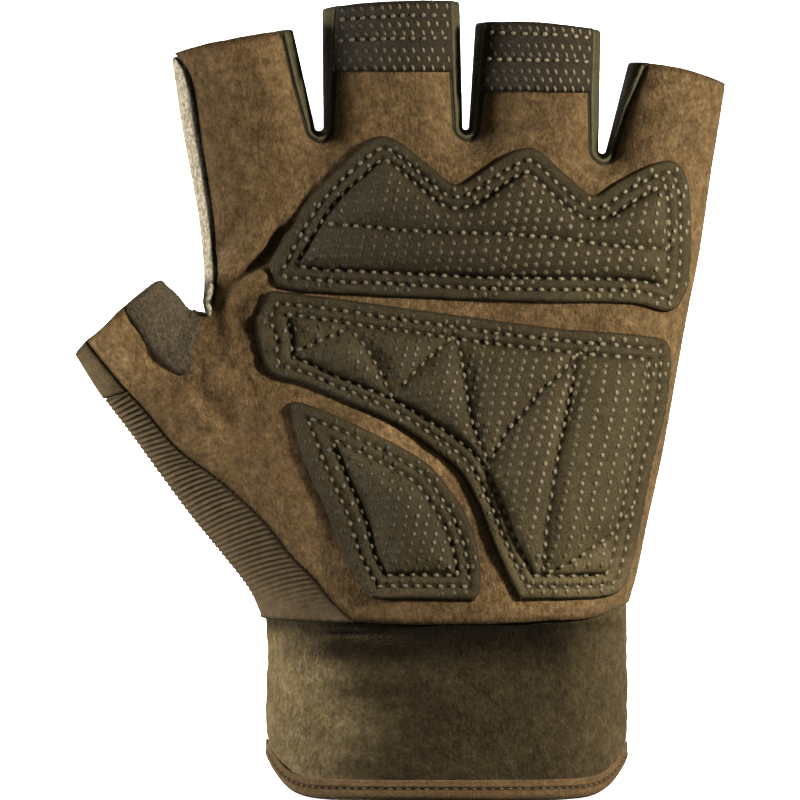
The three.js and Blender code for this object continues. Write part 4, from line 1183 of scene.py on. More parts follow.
points, quads = face_out(index_section())
shade, _ = edge_shade(points, quads, 0.6, 0.8)
inward = line_distance(INDEX_LINE, points[:, 0], points[:, 2]) / strip_wide(points[:, 2], -1)
on_palm = points[:, 1] < body_y(points[:, 0], points[:, 2], 1) - 2
shade = np.maximum(shade, smooth(0.72, 0.84, inward) * on_palm)
verts, faces = thicken(points, quads, STRIP_THICK)
tail_keys = np.arange(len(STRIP_TAIL))
down = np.linspace(0, tail_keys[-1], 29)
tail_x, tail_z, tail_half = (hermite(tail_keys, column, down) for column in STRIP_TAIL.T)
place, out = surface(tail_x, tail_z)
tail, tail_faces = tube(place + out * 0.35, tail_half, 14, out)
shade = np.concatenate([shade, np.zeros(len(verts) - len(shade) + len(tail))])
verts, faces = join([(verts, faces), (tail, tail_faces)])
strip = build("index_side_strip", verts, faces, pale, "index_side_strip", {"shade": shade})


# Ribbed panel and thumb end band
# pitch and height of the ribs, length they are counted along, share of their height that lies below the drawn
# surface, and how they bend with the distance from the seam and its square
RIB_PITCH = 1.24
RIB_TALL = 0.42
RIB_RUN = 79.5
RIB_SUNK = 0.7
RIB_BEND = (0.18, 0.012)


def rib_grid(start, stop, steps):
    """Rows across the panel from the palm seam round the thumb's side to the back seam, with the height of the
    ribs and of the hollows between them. Ribs are a wave along the panel that bends with the distance from the
    seam and is flatter along the side line."""
    share = np.linspace(start, stop, steps + 1)
    fine = np.linspace(0, 1, 1001)
    seam = shifted(trace(RIB_SEAM, fine), -HALF_GAP)
    seam = np.stack([np.interp(share, fine, seam[:, k]) for k in (0, 1)], 1)
    edge = thumb_edge_at(share, 0.0)
    end = thumb_edge_at(share, RIB_BACK_WIDE - HALF_GAP)
    end = mix(end, back_cuff_corner() - (SEAM_GAP, 0), np.exp(-share / CORNER_PULL)[:, None])
    front = (1 - (1 - np.linspace(0, 1, 27)) ** 1.6)[:-1]
    behind = np.linspace(0, 1, 19)[1:] ** 1.6
    rows = [on_body(mix(seam, edge, t), -1) for t in front]
    rows.append(side_point(edge))
    rows += [on_body(mix(edge, end, t), 1) for t in behind]
    place = np.concatenate([front, [1.0], 1 + behind])
    away = place * np.linalg.norm(edge - seam, axis=1)[:, None]
    bend = RIB_BEND[1] * away**2 + RIB_BEND[0] * away
    wave = 0.5 + 0.5 * np.cos(2 * math.pi * (share[:, None] * RIB_RUN + bend) / RIB_PITCH)
    fade = (1 - 0.4 * bell((place - 1) / 0.22)) * smooth(0.02, 0.16, share[:, None])
    return np.stack(rows, 1), wave * fade, (1 - wave) * fade


grid, push, hollow = rib_grid(0, BAND_SHARE - BAND_GAP, 420)
points, quads = face_out(grid)
_, order = np.unique(np.round(grid.reshape(-1, 3) / WELD).astype(np.int64), axis=0, return_inverse=True)
order = order.reshape(-1)
push_at, hollow_at = np.zeros(len(points)), np.zeros(len(points))
push_at[order] = push.ravel()
hollow_at[order] = hollow.ravel()
shade, near = edge_shade(points, quads, 0.7, 0.8)
rise = (push_at - RIB_SUNK) * RIB_TALL * np.clip(near, 0, 1)
points = points + vertex_normals(points, quads) * rise[:, None]
shade = np.maximum(shade, hollow_at**1.5 * 0.72)
rib = wall("rib_knit_panel", points, quads, RIB_THICK, rib_cloth, shade)

grid, _, _ = rib_grid(BAND_SHARE + BAND_GAP, 1.0, 40)
points, quads = face_out(grid)
shade, _ = edge_shade(points, quads, 0.7, 0.8)
band = wall("thumb_end_band", points, quads, RIB_THICK, band_cloth, shade)


# Thumb crotch patch
def patch_grid():
    """Rows from the patch's inner edge over the suede to the web, round it and a little way down the back, then
    each inner row eased between its neighbours."""
    share = np.linspace(0.012, 1, 81)
    web = trace(WEB_EDGE[::-1], share)
    inner = np.stack([hermite(CROTCH_PATCH[:, 0], CROTCH_PATCH[:, k], share) for k in (1, 2)], 1)
    lift = PATCH_RISE * (0.8 + 0.2 * smooth(0.0, 0.06, share))[:, None]
    brim = lift[:, 0] * (1.2 - 1.5 * smooth(0.55, 1.0, share))
    rows = []
    for t in (1 - (1 - np.linspace(0, 1, 37)) ** 1.7)[:-1]:
        flat = mix(inner, web, t)
        place, out = surface(flat[:, 0], flat[:, 1], -1)
        pressed = 0.9 * smooth(0.6, 0.95, share)[:, None] * smooth(0.7, 1.0, t)
        rows.append(place + out * lift * (1 - pressed))
    side_line = side_point(web)
    side_line[:, 0::2] += unit(web - inner) * brim[:, None]
    rows.append(side_line)
    for t in 0.3 * np.linspace(0, 1, 13)[1:] ** 1.6:
        flat = mix(web, inner, t)
        place, out = surface(flat[:, 0], flat[:, 1], 1)
        rows.append(place + out * brim[:, None])
    grid = np.stack(rows, 1)
    for _ in range(8):
        grid[1:-1] = (grid[:-2] + 2 * grid[1:-1] + grid[2:]) / 4
    return grid


points, quads = face_out(patch_grid())
shade, near = edge_shade(points, quads, 0.5, 0.7)
x, z = points[:, 0] + 100, points[:, 2]
pebble = value_noise(x, z, 0.9, 11) + 0.5 * value_noise(x, z, 0.5, 12)
points = points + vertex_normals(points, quads) * (0.05 * pebble - 0.35 * bell(near / 0.6))[:, None]
patch = wall("thumb_crotch_patch", points, quads, PATCH_THICK, patch_cloth, shade)


# Stitched pads
# painted light and shade on the pads: x, z, width, height, change
PAD_PAINTED_LIGHT = {
    "knuckle_pad": [(0, 116, 24, 14, -0.3), (44, 115, 12, 20, 0.25), (30, 103, 20, 4, 0.45)],
    "palm_pad": [
        (-30, 92, 14, 8, 0.4),
        (0, 86, 20, 14, 0.2),
        (34, 66, 20, 34, 0.4),
        (27, 46, 16, 6.5, 1.7),
        (10, 66, 3.5, 7, 1.6),
        (14, 55, 3.5, 7, 1.6),
        (25, 68, 3, 16, 0.5),
    ],
    "heel_pad": [(-12, 44, 16, 6, 0.5), (-14, 72, 9, 8, 0.45)],
}
# each pad: rise of its swell, lower and upper edge, quilting lines, and where its sewn rows lie at another
# distance from the edge, as x, z, reach, weight
KNUCKLE = {
    "name": "knuckle_pad",
    "rise": 2.7,
    "low": [
        (-36.3, 108.6),
        (-34.0, 105.8),
        (-17.5, 104.4),
        (2.1, 103.5),
        (20.4, 102.9),
        (38.7, 102.6),
        (46.2, 101.2),
        (49.4, 105.4),
        (50.4, 112.0),
    ],
    "high": [
        (-36.3, 110.2),
        (-33.8, 115.4),
        (-28.3, 124.4),
        (-17.5, 135.0),
        (-13.6, 137.3),
        (-10.0, 136.4),
        (-4.0, 131.7),
        (1.5, 127.3),
        (4.0, 127.8),
        (13.1, 133.6),
        (17.5, 134.9),
        (20.4, 133.4),
        (25.4, 128.6),
        (30.5, 124.9),
        (35.8, 127.7),
        (43.1, 131.6),
        (46.8, 132.2),
        (49.2, 129.8),
        (50.3, 124.4),
        (50.5, 116.0),
    ],
    "quilt": [[(-24.5, 119.0), (-1.0, 117.4), (20.4, 116.4), (32.7, 114.8), (46.0, 114.0)]],
    "wide_rows": [],
}
PALM = {
    "name": "palm_pad",
    "rise": 2.7,
    "low": [
        (-39.8, 98.2),
        (-36.9, 88.7),
        (-29.2, 85.7),
        (-20.2, 81.9),
        (-11.0, 77.7),
        (-4.4, 73.3),
        (2.6, 67.6),
        (6.7, 60.4),
        (9.6, 53.1),
        (12.7, 46.0),
        (14.8, 41.6),
    ],
    "high": [
        (-39.6, 99.8),
        (-36.4, 104.9),
        (-33.2, 105.0),
        (-15.6, 102.7),
        (6.9, 99.6),
        (25.0, 97.3),
        (44.2, 95.5),
        (46.2, 93.2),
        (45.2, 81.0),
        (42.3, 69.2),
        (40.0, 57.6),
        (37.6, 47.0),
        (35.2, 43.0),
        (30.6, 41.8),
    ],
    "quilt": [
        [(-31.5, 92.3), (-20.6, 97.3)],
        [(-19.6, 96.9), (-15.6, 91.0), (-11.0, 82.5)],
        [(-9.8, 85.2), (1.5, 96.0)],
        [(2.1, 95.6), (3.3, 88.8), (6.0, 76.0), (8.8, 70.0)],
        [(9.6, 69.6), (13.1, 75.8), (16.3, 79.4), (19.8, 84.2), (23.8, 87.7), (27.1, 92.1)],
        [(27.3, 92.9), (24.6, 77.5), (21.9, 64.0), (20.4, 55.2), (19.8, 46.9)],
        [(20.2, 46.9), (24.2, 49.2), (30.2, 53.5), (33.8, 56.0), (38.5, 61.5)],
    ],
    "wide_rows": [(-41.0, 95.0, 7.0, 0.66), (-24.0, 83.0, 9.0, 1.2), (-10.0, 77.0, 9.0, 1.15)],
}
HEEL = {
    "name": "heel_pad",
    "rise": 2.3,
    "low": [(-32.3, 81.6), (-29.2, 70.2), (-24.6, 59.8), (-20.2, 49.4), (-15.2, 41.7)],
    "high": [
        (-31.6, 82.3),
        (-29.6, 82.0),
        (-22.3, 79.2),
        (-15.6, 76.0),
        (-8.8, 72.5),
        (-3.3, 69.0),
        (0.6, 64.4),
        (4.2, 59.0),
        (6.5, 52.7),
        (7.3, 44.4),
        (6.0, 41.3),
    ],
    "quilt": [],
    "wide_rows": [(-29.0, 70.0, 9.0, 0.75), (-23.0, 56.0, 9.0, 0.75), (6.0, 58.0, 9.0, 0.9)],
}
# distances of the two sewn rows from the edge, where the swell starts and how far in it grows, thickness of
# the flange, and stitch pitch
ROWS = (2.6, 4.9)
SWELL_START = 5.3
SWELL_REACH = 6.5
FLANGE = 1.25
PITCH = 2.45
# the least distance of a dot from a sewn row and from a quilting line
DOT_OFF_ROW = 0.72
DOT_OFF_QUILT = 0.75


def row_weight(pad, x, z):
    """Weight on the distance from a pad's edge: below 1 where its sewn rows lie further in than elsewhere."""
    weight = np.ones(np.shape(x))
    for wx, wz, reach, amount in pad["wide_rows"]:
        weight = weight + (amount - 1) * np.exp(-((x - wx) ** 2 + (z - wz) ** 2) / reach**2)
    return weight


def pad_height(pad, x, z):
    """Height of a pad over the suede: a thin flange with a rounded edge and two sewn grooves, then a swell that
    starts steeply and levels off, pressed down along the quilting lines."""
    d = line_distance(pad["closed"], x, z)
    edge = np.sqrt(1 - (1 - np.clip(d / 0.8, 0, 1)) ** 2)
    h = REST + FLANGE * (0.3 + 0.7 * edge)
    d = line_distance(pad["closed"], x, z, pad["weights"])
    t = np.clip((d - SWELL_START) / SWELL_REACH, 0, 1)
    swell = pad["rise"] * np.sqrt(1 - (1 - t) ** 2)
    groove = np.zeros(np.shape(x))
    for line in pad["quilt_lines"]:
        q = line_distance(line, x, z)
        swell = swell * (1 - 0.5 * bell(q / 2.4))
        groove = np.maximum(groove, bell(q / 0.55))
    h = h + swell - 0.32 * groove
    for row in ROWS:
        h = h - 0.34 * bell((d - row) / 0.5)
    h = h + 0.12 * bell((d - sum(ROWS) / 2) / 0.4)
    h = h + 0.1 * value_noise(x + 90, z, 5.0, 21) * smooth(5, 8, d)
    return h, d, groove


def on_pad(pad, x, z):
    """Flat points placed on a pad's upper face, and the direction out of the suede below them."""
    place, out = surface(x, z)
    h, _, _ = pad_height(pad, x, z)
    return place + out * h[..., None], out


def make_pad(pad, cell):
    """Flat cells inside the outline, their outermost points moved onto it, lifted to the pad's height; the same
    cells at the suede close it below."""
    low, high = sampled(pad["low"], 120), sampled(pad["high"], 200)
    outline = np.concatenate([low, high[::-1]])
    keep = np.linalg.norm(outline - np.roll(outline, 1, axis=0), axis=1) > 0.02
    outline = outline[keep]
    pad["outline"] = outline
    pad["closed"] = np.concatenate([outline, outline[:1]])
    middle = (pad["closed"][1:] + pad["closed"][:-1]) / 2
    pad["weights"] = row_weight(pad, middle[:, 0], middle[:, 1])
    quilt = [sampled(line, 24) if len(line) > 2 else np.array(line, float) for line in pad["quilt"]]
    pad["quilt_lines"] = quilt
    lo, hi = outline.min(0) - 1, outline.max(0) + 1
    xs, zs = np.arange(lo[0], hi[0], cell), np.arange(lo[1], hi[1], cell)
    x, z = np.meshgrid(xs, zs)
    d = line_distance(pad["closed"], x, z)
    good = inside(outline, x, z) & (d > 0.2 * cell)
    cells = good[:-1, :-1] & good[:-1, 1:] & good[1:, 1:] & good[1:, :-1]
    quads = cell_quads(np.arange(x.size).reshape(x.shape))[cells]
    used, back_ids = np.unique(quads, return_inverse=True)
    quads = back_ids.reshape(-1, 4)
    flat = np.stack([x.ravel()[used], z.ravel()[used]], 1)
    p, q = border_edges(quads, len(flat))
    edge = np.unique(np.concatenate([p, q]))
    dense, _ = walk_line(outline, 0.08, True)
    for s in range(0, len(edge), 400):
        part = edge[s : s + 400]
        gap = ((flat[part, None] - dense) ** 2).sum(-1)
        flat[part] = dense[gap.argmin(1)]
    place, out = surface(flat[:, 0], flat[:, 1])
    h, d, groove = pad_height(pad, flat[:, 0], flat[:, 1])
    holes = pad_holes(pad)
    near = np.full(len(flat), 9.0)
    for s in range(0, len(flat), 3000):
        gap = ((flat[s : s + 3000, None] - holes) ** 2).sum(-1)
        near[s : s + 3000] = np.sqrt(gap.min(1))
    hole = bell(near / 0.42)
    h = h - 0.3 * hole
    top = place + out * h[:, None]
    under = place + out * REST
    count = len(flat)
    faces = np.concatenate([quads, quads[:, ::-1] + count, np.stack([q, p, p + count, q + count], 1)])
    shade = np.maximum(0.85 * hole, 0.25 * groove)
    shade = np.maximum(shade, 0.5 * bell(d / 0.3))
    for row in ROWS:
        shade = np.maximum(shade, 0.22 * bell((d - row) / 0.6))
    # painted light and shade from the table, on the upper points and again on the lower ones
    tone = np.tile(bells(PAD_PAINTED_LIGHT[pad["name"]], flat[:, 0], flat[:, 1]), 2)
    looks = {"shade": shade, "tone": tone}
    obj = build(pad["name"], np.concatenate([top, under]), faces, pad_cloth, pad["name"], looks)


def pad_lines(pad):
    """The sewn rows, which are closed, and the quilting lines, which aren't."""
    lines = [(inset(pad, row), True) for row in ROWS]
    return lines + [(line, False) for line in pad["quilt_lines"]]


def pad_holes(pad):
    """Needle holes, halfway between the stitches of every sewn line."""
    holes = []
    for line, closed in pad_lines(pad):
        spots, along = walk_line(line, PITCH, closed)
        holes.append(spots + along * PITCH / 2)
    return np.concatenate(holes)


stitch_parts, pip_parts, stitch_tones, pip_tones = [], [], [], []
rng = np.random.default_rng(5)


def keep_beads(parts, tones, part, tone):
    """Add a group of beads to its list, and their painted light to its own list, each value repeated for every
    point of its bead.
    """
    parts.append(part)
    tones.append(np.repeat(tone, len(part[0]) // len(tone)))


def sew(lift_points, line, closed, pitch=PITCH, size=(0.58, 0.47, 0.34)):
    """Short rounded stitches along a flat line, lifted onto the surface, with painted light that makes them
    paler towards the little finger.
    """
    spots, along = walk_line(line, pitch, closed)
    place, out = lift_points(spots[:, 0], spots[:, 1])
    ahead, _ = lift_points(spots[:, 0] + along[:, 0] * 0.3, spots[:, 1] + along[:, 1] * 0.3)
    d = unit(ahead - place)
    out = unit(out - d * (out * d).sum(1, keepdims=True))
    sizes = np.array(size) * rng.uniform(0.86, 1.12, (len(spots), 3))
    part = beads(place + out * 0.12, d, out, sizes)
    # painted light: paler towards the little finger's side
    keep_beads(stitch_parts, stitch_tones, part, mix(0.66, 1.15, smooth(-32.0, 44.0, place[:, 0])))


def scatter_pips(pad, a=(2.38, 0.12), b=(0.44, 1.84), edge=1.0):
    """Dots on a slanted lattice of steps a and b, kept clear of the sewn lines: shallow domes in one mesh,
    flatter towards the thumb, with a painted glint that leaves them darker towards the thumb and lighter
    towards the little finger."""
    lo, hi = pad["outline"].min(0), pad["outline"].max(0)
    i, j = np.meshgrid(np.arange(-80, 80), np.arange(-80, 80))
    mid = (lo + hi) / 2
    x = mid[0] + i * a[0] + j * b[0]
    z = mid[1] + i * a[1] + j * b[1]
    x, z = x.ravel(), z.ravel()
    x = x + 0.25 * value_noise(x + 50, z, 6, 31)
    z = z + 0.25 * value_noise(x + 50, z, 6, 32)
    ok = (x > lo[0]) & (x < hi[0]) & (z > lo[1]) & (z < hi[1])
    x, z = x[ok], z[ok]
    d = line_distance(pad["closed"], x, z, pad["weights"])
    ok = inside(pad["outline"], x, z) & (d > edge)
    for row in ROWS:
        ok &= np.abs(d - row) > DOT_OFF_ROW
    for line in pad["quilt_lines"]:
        ok &= line_distance(line, x, z) > DOT_OFF_QUILT
    x, z = x[ok], z[ok]
    place, out = on_pad(pad, x, z)
    ax, _ = on_pad(pad, x + 0.3, z)
    az, _ = on_pad(pad, x, z + 0.3)
    along = unit(az - place)
    out = -unit(np.cross(ax - place, along))
    out = np.where(out[:, 1:2] > 0, -out, out)
    size = np.array([0.6, 0.52, 0.16]) * rng.uniform(0.9, 1.06, (len(x), 1))
    size[:, 2] *= mix(0.45, 1.0, smooth(-16.0, 12.0, x))
    part = beads(place + out * 0.02, along, out, size)
    # painted glint: the dots lighter towards the little finger
    keep_beads(pip_parts, pip_tones, part, mix(0.5, 1.8, smooth(-14.0, 26.0, place[:, 0])))


PAD_CELL = 0.36
for pad, fill in ((KNUCKLE, 0.55), (PALM, 0.55), (HEEL, 0.6)):
    make_pad(pad, PAD_CELL)
    for line, closed in pad_lines(pad):
        sew(partial(on_pad, pad), line, closed)
    scatter_pips(pad)


# Dark bands at two fingertips
def seam_share(index, end, z):
    """Share round a slot at which the seam line reaches a height, by halving."""
    low, high = 0.5, float(end)
    for _ in range(24):
        middle = (low + high) / 2
        if around_slot(index, middle, seam_at(index, middle, 0.3))[1] < z:
            low = middle
        else:
            high = middle
    return low


def tip_band(name, finger, low):
    """Dark band over a fingertip: a grid between the two seams from its lower edge to the finger opening."""
    left = np.linspace(seam_share(finger - 1, 1, low), 1, 41)
    right = np.linspace(seam_share(finger, 0, low), 0, 41)
    a = around_slot(finger - 1, left, seam_at(finger - 1, left, 0.12))
    b = around_slot(finger, right, seam_at(finger, right, 0.12))
    u = np.linspace(0, 1, 71)
    flat = mix(a[:, None], b[:, None], u[None, :, None])
    rise = np.linspace(0, 1, 41)[:, None] ** 2
    level = mix(a[-1, 1], b[-1, 1], u)
    flat[..., 1] += rise * (tip_height(TIPS[finger], flat[-1, :, 0]) - level)
    place, out = surface(flat[..., 0], flat[..., 1])
    points, quads = weld([place + out * BAND_RISE])
    shade, near = edge_shade(points, quads, 0.6, 0.6)
    points = points - vertex_normals(points, quads) * (0.3 * bell(near / 0.7))[:, None]
    obj = wall(name, points, quads, BAND_THICK, tip_cloth, shade)
    return flat


def band_details(flat, rows, sew_rows):
    """Sewn rows across a band at their shares of its height, and staggered rows of dots between them."""

    def on_band(x, z):
        place, out = surface(x, z)
        return place + out * BAND_RISE, out

    for share in sew_rows:
        k = int(share * (flat.shape[0] - 1))
        sew(on_band, flat[k, 2:-2], False, 1.9)
    r, c = np.meshgrid(np.arange(rows), np.arange(12), indexing="ij")
    u = (c + 0.5 + 0.5 * (r % 2)) / 12.5
    v = (r + 0.5) / rows
    u, v = u.ravel(), v.ravel()
    ok = (u < 0.97) & np.all([np.abs(v - s) > 0.06 for s in sew_rows], axis=0)
    u, v = u[ok], v[ok]
    i, j = (v * (flat.shape[0] - 1)).astype(int), (u * (flat.shape[1] - 1)).astype(int)
    spot = flat[i, j]
    place, out = surface(spot[:, 0], spot[:, 1])
    up = np.tile([-0.35, 0.0, 1.0], (len(spot), 1))
    up = unit(up - out * (out * up).sum(1, keepdims=True))
    part = beads(place + out * (BAND_RISE - 0.02), up, out, (0.66, 0.36, 0.2), 4)
    # painted glint: the dots lighter across the band from its left seam to its right
    keep_beads(pip_parts, pip_tones, part, mix(0.3, 2.1, smooth(0.1, 0.9, u)))


flat = tip_band("tip_band_middle", 1, 150.8)
band_details(flat, 8, (0.81, 0.49))
flat = tip_band("tip_band_ring", 2, 146.6)
band_details(flat, 8, (0.85, 0.48))

points, faces = join(stitch_parts)
stitches = build("stitching", points, faces, thread, None, {"tone": np.concatenate(stitch_tones)})
points, faces = join(pip_parts)
pips = build("grip_dots", points, faces, pip_rubber, None, {"tone": np.concatenate(pip_tones)})

# Cuff
CUFF_HALF_WIDE = 37.8
CUFF_HALF_DEEP = 21.3
CUFF_TOP = 40.2
CUFF_LOW = 1.6
CUFF_TUCK = 2.4
CUFF_TOP_RISE = 3.9
HEM_TALL = 4.4
# rise of the lower edge at the thumb's side and at the other side, and how suddenly it rises
HEM_RISES = (7.8, 7.2)
HEM_POWER = 13
# height of the tape's sewn groove
GROOVE_Z = 2.5
# wrinkles: turn in degrees, height, spread in degrees, half height, depth
CUFF_WRINKLES = [
    (-122, 34.6, 15, 0.9, 1.0),
    (-116, 31.6, 20, 1.6, -0.8),
    (-104, 28.6, 7, 2.2, 0.8),
    (-97, 20, 2.2, 12, 0.35),
    (-110, 24.6, 5, 2.0, -0.7),
    (-116, 21.0, 4, 3.0, 0.7),
    (-124, 24.0, 7, 2.6, -0.6),
    (-142, 20, 9, 4.5, -0.5),
    (-118, 15, 6, 2.2, 0.7),
    (-132, 12, 10, 2.2, 0.6),
    (-125, 8.5, 10, 2.0, -0.5),
    (-70, 31, 16, 1.5, 0.3),
    (-84, 27, 9, 2.2, 0.35),
    (-60, 12, 18, 3.0, 0.3),
    (-40, 24, 7, 8.0, 0.35),
]


def hem_height(turn):
    """Rise of the lower edge: a high power of the cosine, so it is level at the front and back."""
    side = np.cos(turn)
    return np.where(side < 0, *HEM_RISES) * np.abs(side) ** HEM_POWER


def cuff_top(turn):
    """Height of the upper edge, higher at the little finger's side."""
    return CUFF_TOP + CUFF_TOP_RISE * smooth(0.55, 1, np.cos(turn))


def cuff_point(turn, z, change=0.0, wrinkles=True):
    """Point of the cuff: an ellipse in plan, drawn in where it is tucked under the suede, with soft dents."""
    edge = cuff_top(turn) - 3.4 + 0.9 * smooth(-0.5, -0.95, np.cos(turn))
    deep = CUFF_TUCK * smooth(edge - 0.5, edge + 1.3, z) - change
    if wrinkles:
        for at, height, spread, tall, amount in CUFF_WRINKLES:
            side = ((np.degrees(turn) - at + 540) % 360 - 180) / spread
            deep = deep + amount * np.exp(-(side**2 + ((z - height) / tall) ** 2)) * smooth(4, 8, z)
        around = turn * 34
        deep = deep + 0.3 * value_noise(around + 0.5 * z, z, 6.0, 41)
        deep = deep + 0.14 * value_noise(around, z * 1.4, 2.4, 42)
    narrow = smooth(14, 3, z)
    x = np.cos(turn) * (CUFF_HALF_WIDE - 0.7 * smooth(0.2, -1, np.cos(turn)) - narrow - deep)
    y = np.sin(turn) * (CUFF_HALF_DEEP - deep)
    return np.stack([x, y, z + 0 * x], -1)


turn = np.linspace(0, 2 * math.pi, 361)
turn[-1] = 0.0
share = np.linspace(0, 1, 85)
low_edge = hem_height(turn) + CUFF_LOW
heights = mix(low_edge[None], cuff_top(turn)[None], share[:, None])
wide_turn = np.broadcast_to(turn, heights.shape)
grid = cuff_point(wide_turn, heights)
grid[:, -1] = grid[:, 0]
points, quads = weld([grid])
verts, faces = thicken(points, quads, CUFF_THICK)
# painted shadow just below the suede's edge
shade = np.clip(1 - np.abs(points[:, 2] - 36.2) / 2.2, 0, 1) * 0.4


def cuff_tone(x, y, z):
    """Lightness of the brushed cuff at the front: painted light where it turns away at both sides and along a
    slanting painted sheen, painted shadow under the suede's edge, and waves of noise."""
    front = smooth(12.0, -4.0, y)
    tone = 1.0 + 2.7 * smooth(-20.0, -33.0, x + 0.25 * (z - 20)) * smooth(37.5, 32.0, z) * front
    tone = tone + (0.45 * smooth(22.0, 34.0, x) + 0.4 * smooth(31.0, 37.0, x)) * front
    middle = mix(-21.5, -28.0, smooth(17.0, 26.0, z))
    sheen = mix(0.9, 3.1, smooth(9.0, 17.0, z)) * smooth(31.5, 27.0, z)
    tone = tone + sheen * bell((x - middle) / 6.8) * front
    under = smooth(25.0, 34.0, z) * 0.8 * smooth(-28.0, -20.0, x) * smooth(32.0, 22.0, x)
    tone = tone * (1 - under * front)
    return tone * (1 + 0.14 * value_noise(x + 150, z, 7.0, 71) + 0.1 * value_noise(x + 150, z, 2.6, 72))


# painted light, sheen and shadow on the cuff's front, and noise in its lightness
tone = cuff_tone(verts[:, 0], verts[:, 1], verts[:, 2])
cuff = build("cuff", verts, faces, cuff_cloth, "cuff", {"shade": shade, "tone": tone})


# Binding tape
def binding():
    """U-shaped profile carried round the hem: outer leg with a sewn groove, round fold, inner leg."""
    outer, slack = 0.75, 0.3
    inner = -CUFF_THICK - 1.0
    fold = np.linspace(math.pi, 2 * math.pi, 15)
    mid, half = (outer + inner) / 2, (outer - inner) / 2
    rounded = [(mid + half * math.cos(a), 1.5 + 1.5 * math.sin(a)) for a in fold]
    leg = np.linspace(1.7, HEM_TALL - 0.6, 12)
    bulge = outer + 0.12 * np.sin((leg - leg[0]) * 2.2) - 0.55 * bell((leg - GROOVE_Z) / 0.3)
    right = list(zip(bulge, leg))
    top = [(outer - 0.1, HEM_TALL - 0.25), (outer - 0.3, HEM_TALL - 0.05), (slack, HEM_TALL - 0.1)]
    inside_u = [(slack, CUFF_LOW - slack), (-CUFF_THICK - slack, CUFF_LOW - slack)]
    left = [(-CUFF_THICK - slack, HEM_TALL - 0.1), (inner + 0.4, HEM_TALL), (inner, HEM_TALL - 0.5)]
    profile = np.array(rounded + right + top + inside_u + left)
    turn = np.linspace(0, 2 * math.pi, 400, endpoint=False)
    base = hem_height(turn)
    rings = []
    for out, up in profile:
        ring = cuff_point(turn, base + CUFF_LOW, out, False)
        ring[:, 2] = base + up + 0.05 * value_noise(turn * 30 + 60, up * np.ones(len(turn)), 3.0, 51)
        rings.append(ring)
    grid = np.stack(rings, 0)
    faces = grid_faces(grid.shape[0], len(turn), True)
    count = grid.shape[0] * len(turn)
    last = np.arange(count - len(turn), count)
    first = np.arange(len(turn))
    ring_faces = np.stack([last, np.roll(last, -1), np.roll(first, -1), first], 1)
    groove = bell((profile[:, 1] - GROOVE_Z) / 0.35) * (profile[:, 0] > -0.2)
    shade = np.repeat(0.95 * groove, len(turn))
    return grid.reshape(-1, 3), np.concatenate([faces, ring_faces]), shade


points, faces, shade = binding()
tape_obj = build("cuff_binding", points, faces, tape, "cuff_binding", {"shade": shade})

# small stitches in the tape's groove
turn = np.linspace(0, 2 * math.pi, 121)[:-1]
place = cuff_point(turn, hem_height(turn) + CUFF_LOW, 0.5, False)
place[:, 2] = hem_height(turn) + GROOVE_Z
ahead = unit(np.roll(place, -1, axis=0) - np.roll(place, 1, axis=0))
out = unit(np.stack([np.cos(turn) / CUFF_HALF_WIDE, np.sin(turn) / CUFF_HALF_DEEP, 0 * turn], 1))
points, faces = beads(place, ahead, out, (0.6, 0.22, 0.22))
hem_stitches = build("hem_stitching", points, faces, tape)


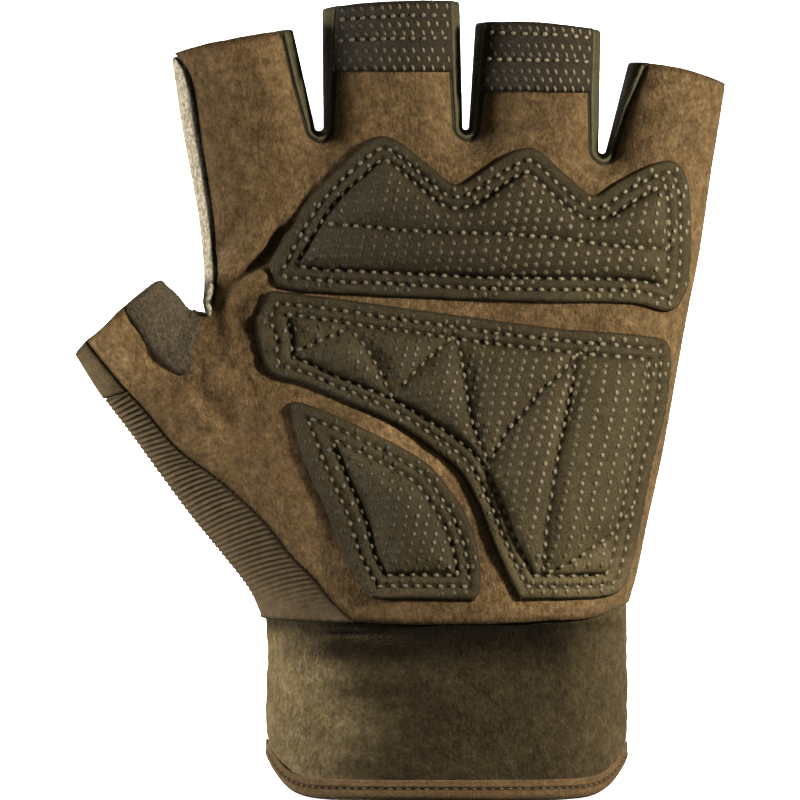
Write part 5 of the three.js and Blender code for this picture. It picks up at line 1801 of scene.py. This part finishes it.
# Floor, backdrop, light, camera
def studio():
    """A pale round room: a level floor, a quarter circle and an upright wall as one profile, turned about the
    glove. It glows a little."""
    level, reach, bend, pole = -0.08, 3.0, 0.4, 0.00001
    arc = np.linspace(0, math.pi / 2, 13)
    run = [(pole, level), (1.0, level), (reach - bend, level)]
    run += [(reach - bend + bend * math.sin(a), level + bend - bend * math.cos(a)) for a in arc[1:]]
    profile = np.array(run + [(reach, 2.6)])
    turn = np.linspace(0, 2 * math.pi, 97)[:-1]
    r, z = profile[:, 0][None], profile[:, 1][None]
    points = np.stack([np.cos(turn)[:, None] * r, np.sin(turn)[:, None] * r, z + 0 * turn[:, None]], -1)
    ids = np.arange(points.shape[0] * points.shape[1]).reshape(points.shape[:2])
    faces = cell_quads(np.concatenate([ids, ids[:1]], 0)).reshape(-1, 4)
    mesh = bpy.data.meshes.new("floor")
    mesh.from_pydata(points.reshape(-1, 3).tolist(), [], faces.tolist())
    mesh.polygons.foreach_set("use_smooth", np.ones(len(faces), bool))
    paint, _, shader, _ = node_tree("pale_floor")
    shader.inputs["Base Color"].default_value = (0.85, 0.85, 0.85, 1)
    shader.inputs["Roughness"].default_value = 0.9
    shader.inputs["Emission Color"].default_value = (1, 1, 1, 1)
    shader.inputs["Emission Strength"].default_value = 0.5
    mesh.materials.append(paint)
    floor = bpy.data.objects.new("floor", mesh)
    floor.visible_diffuse = False
    floor.visible_glossy = False
    bpy.context.scene.collection.objects.link(floor)


def lamp(name, place, aim, size, power, colour=(1, 1, 1), spread=180):
    """A round area light that isn't seen itself, turned from its place towards its aim."""
    light = bpy.data.lights.new(name, "AREA")
    light.spread = math.radians(spread)
    light.shape = "DISK"
    light.size = size
    light.energy = power
    light.color = colour
    obj = bpy.data.objects.new(name, light)
    bpy.context.scene.collection.objects.link(obj)
    obj.location = place
    obj.visible_camera = False
    direction = np.array(aim) - np.array(place)
    obj.rotation_mode = "QUATERNION"
    obj.rotation_quaternion = Vector(direction).to_track_quat("-Z", "Y")


studio()
lamp("key", (0.29, -0.21, 0.19), (0.0, 0.0, 0.09), 0.05, 3.2, (1.0, 0.95, 0.88))
lamp("side", (-0.45, -0.03, 0.1), (-0.03, 0.0, 0.07), 0.12, 3.6, (1.0, 0.98, 0.95))
lamp("rear", (-0.5, 1.1, 0.6), (0.0, 0.0, 0.08), 0.4, 9.0)
for k in range(6):
    way = np.array([math.sin(k * math.pi / 3), math.cos(k * math.pi / 3)])
    lamp(f"wash_{k}", (*(way * 1.5), 0.9), (*(way * 3.0), 0.12), 0.5, 26, spread=80)

world = bpy.data.worlds.new("studio_air")
world.use_nodes = True
world.node_tree.nodes["Background"].inputs["Color"].default_value = (1, 1, 1, 1)
world.node_tree.nodes["Background"].inputs["Strength"].default_value = 0.15
bpy.context.scene.world = world
bpy.context.scene.view_settings.view_transform = "Standard"

# the view is as wide as the photo's 800 pixels at 4.8 pixels a millimetre
CAMERA_AWAY = 2.0
VIEW_WIDE = 0.16667
camera = bpy.data.cameras.new("camera")
camera.sensor_width = 36
camera.lens = camera.sensor_width * CAMERA_AWAY / VIEW_WIDE
camera.clip_end = 20
camera_obj = bpy.data.objects.new("camera", camera)
bpy.context.scene.collection.objects.link(camera_obj)
camera_obj.location = (-0.0094, -CAMERA_AWAY, 0.0827)
camera_obj.rotation_euler = (math.pi / 2, 0, 0)
bpy.context.scene.camera = camera_obj
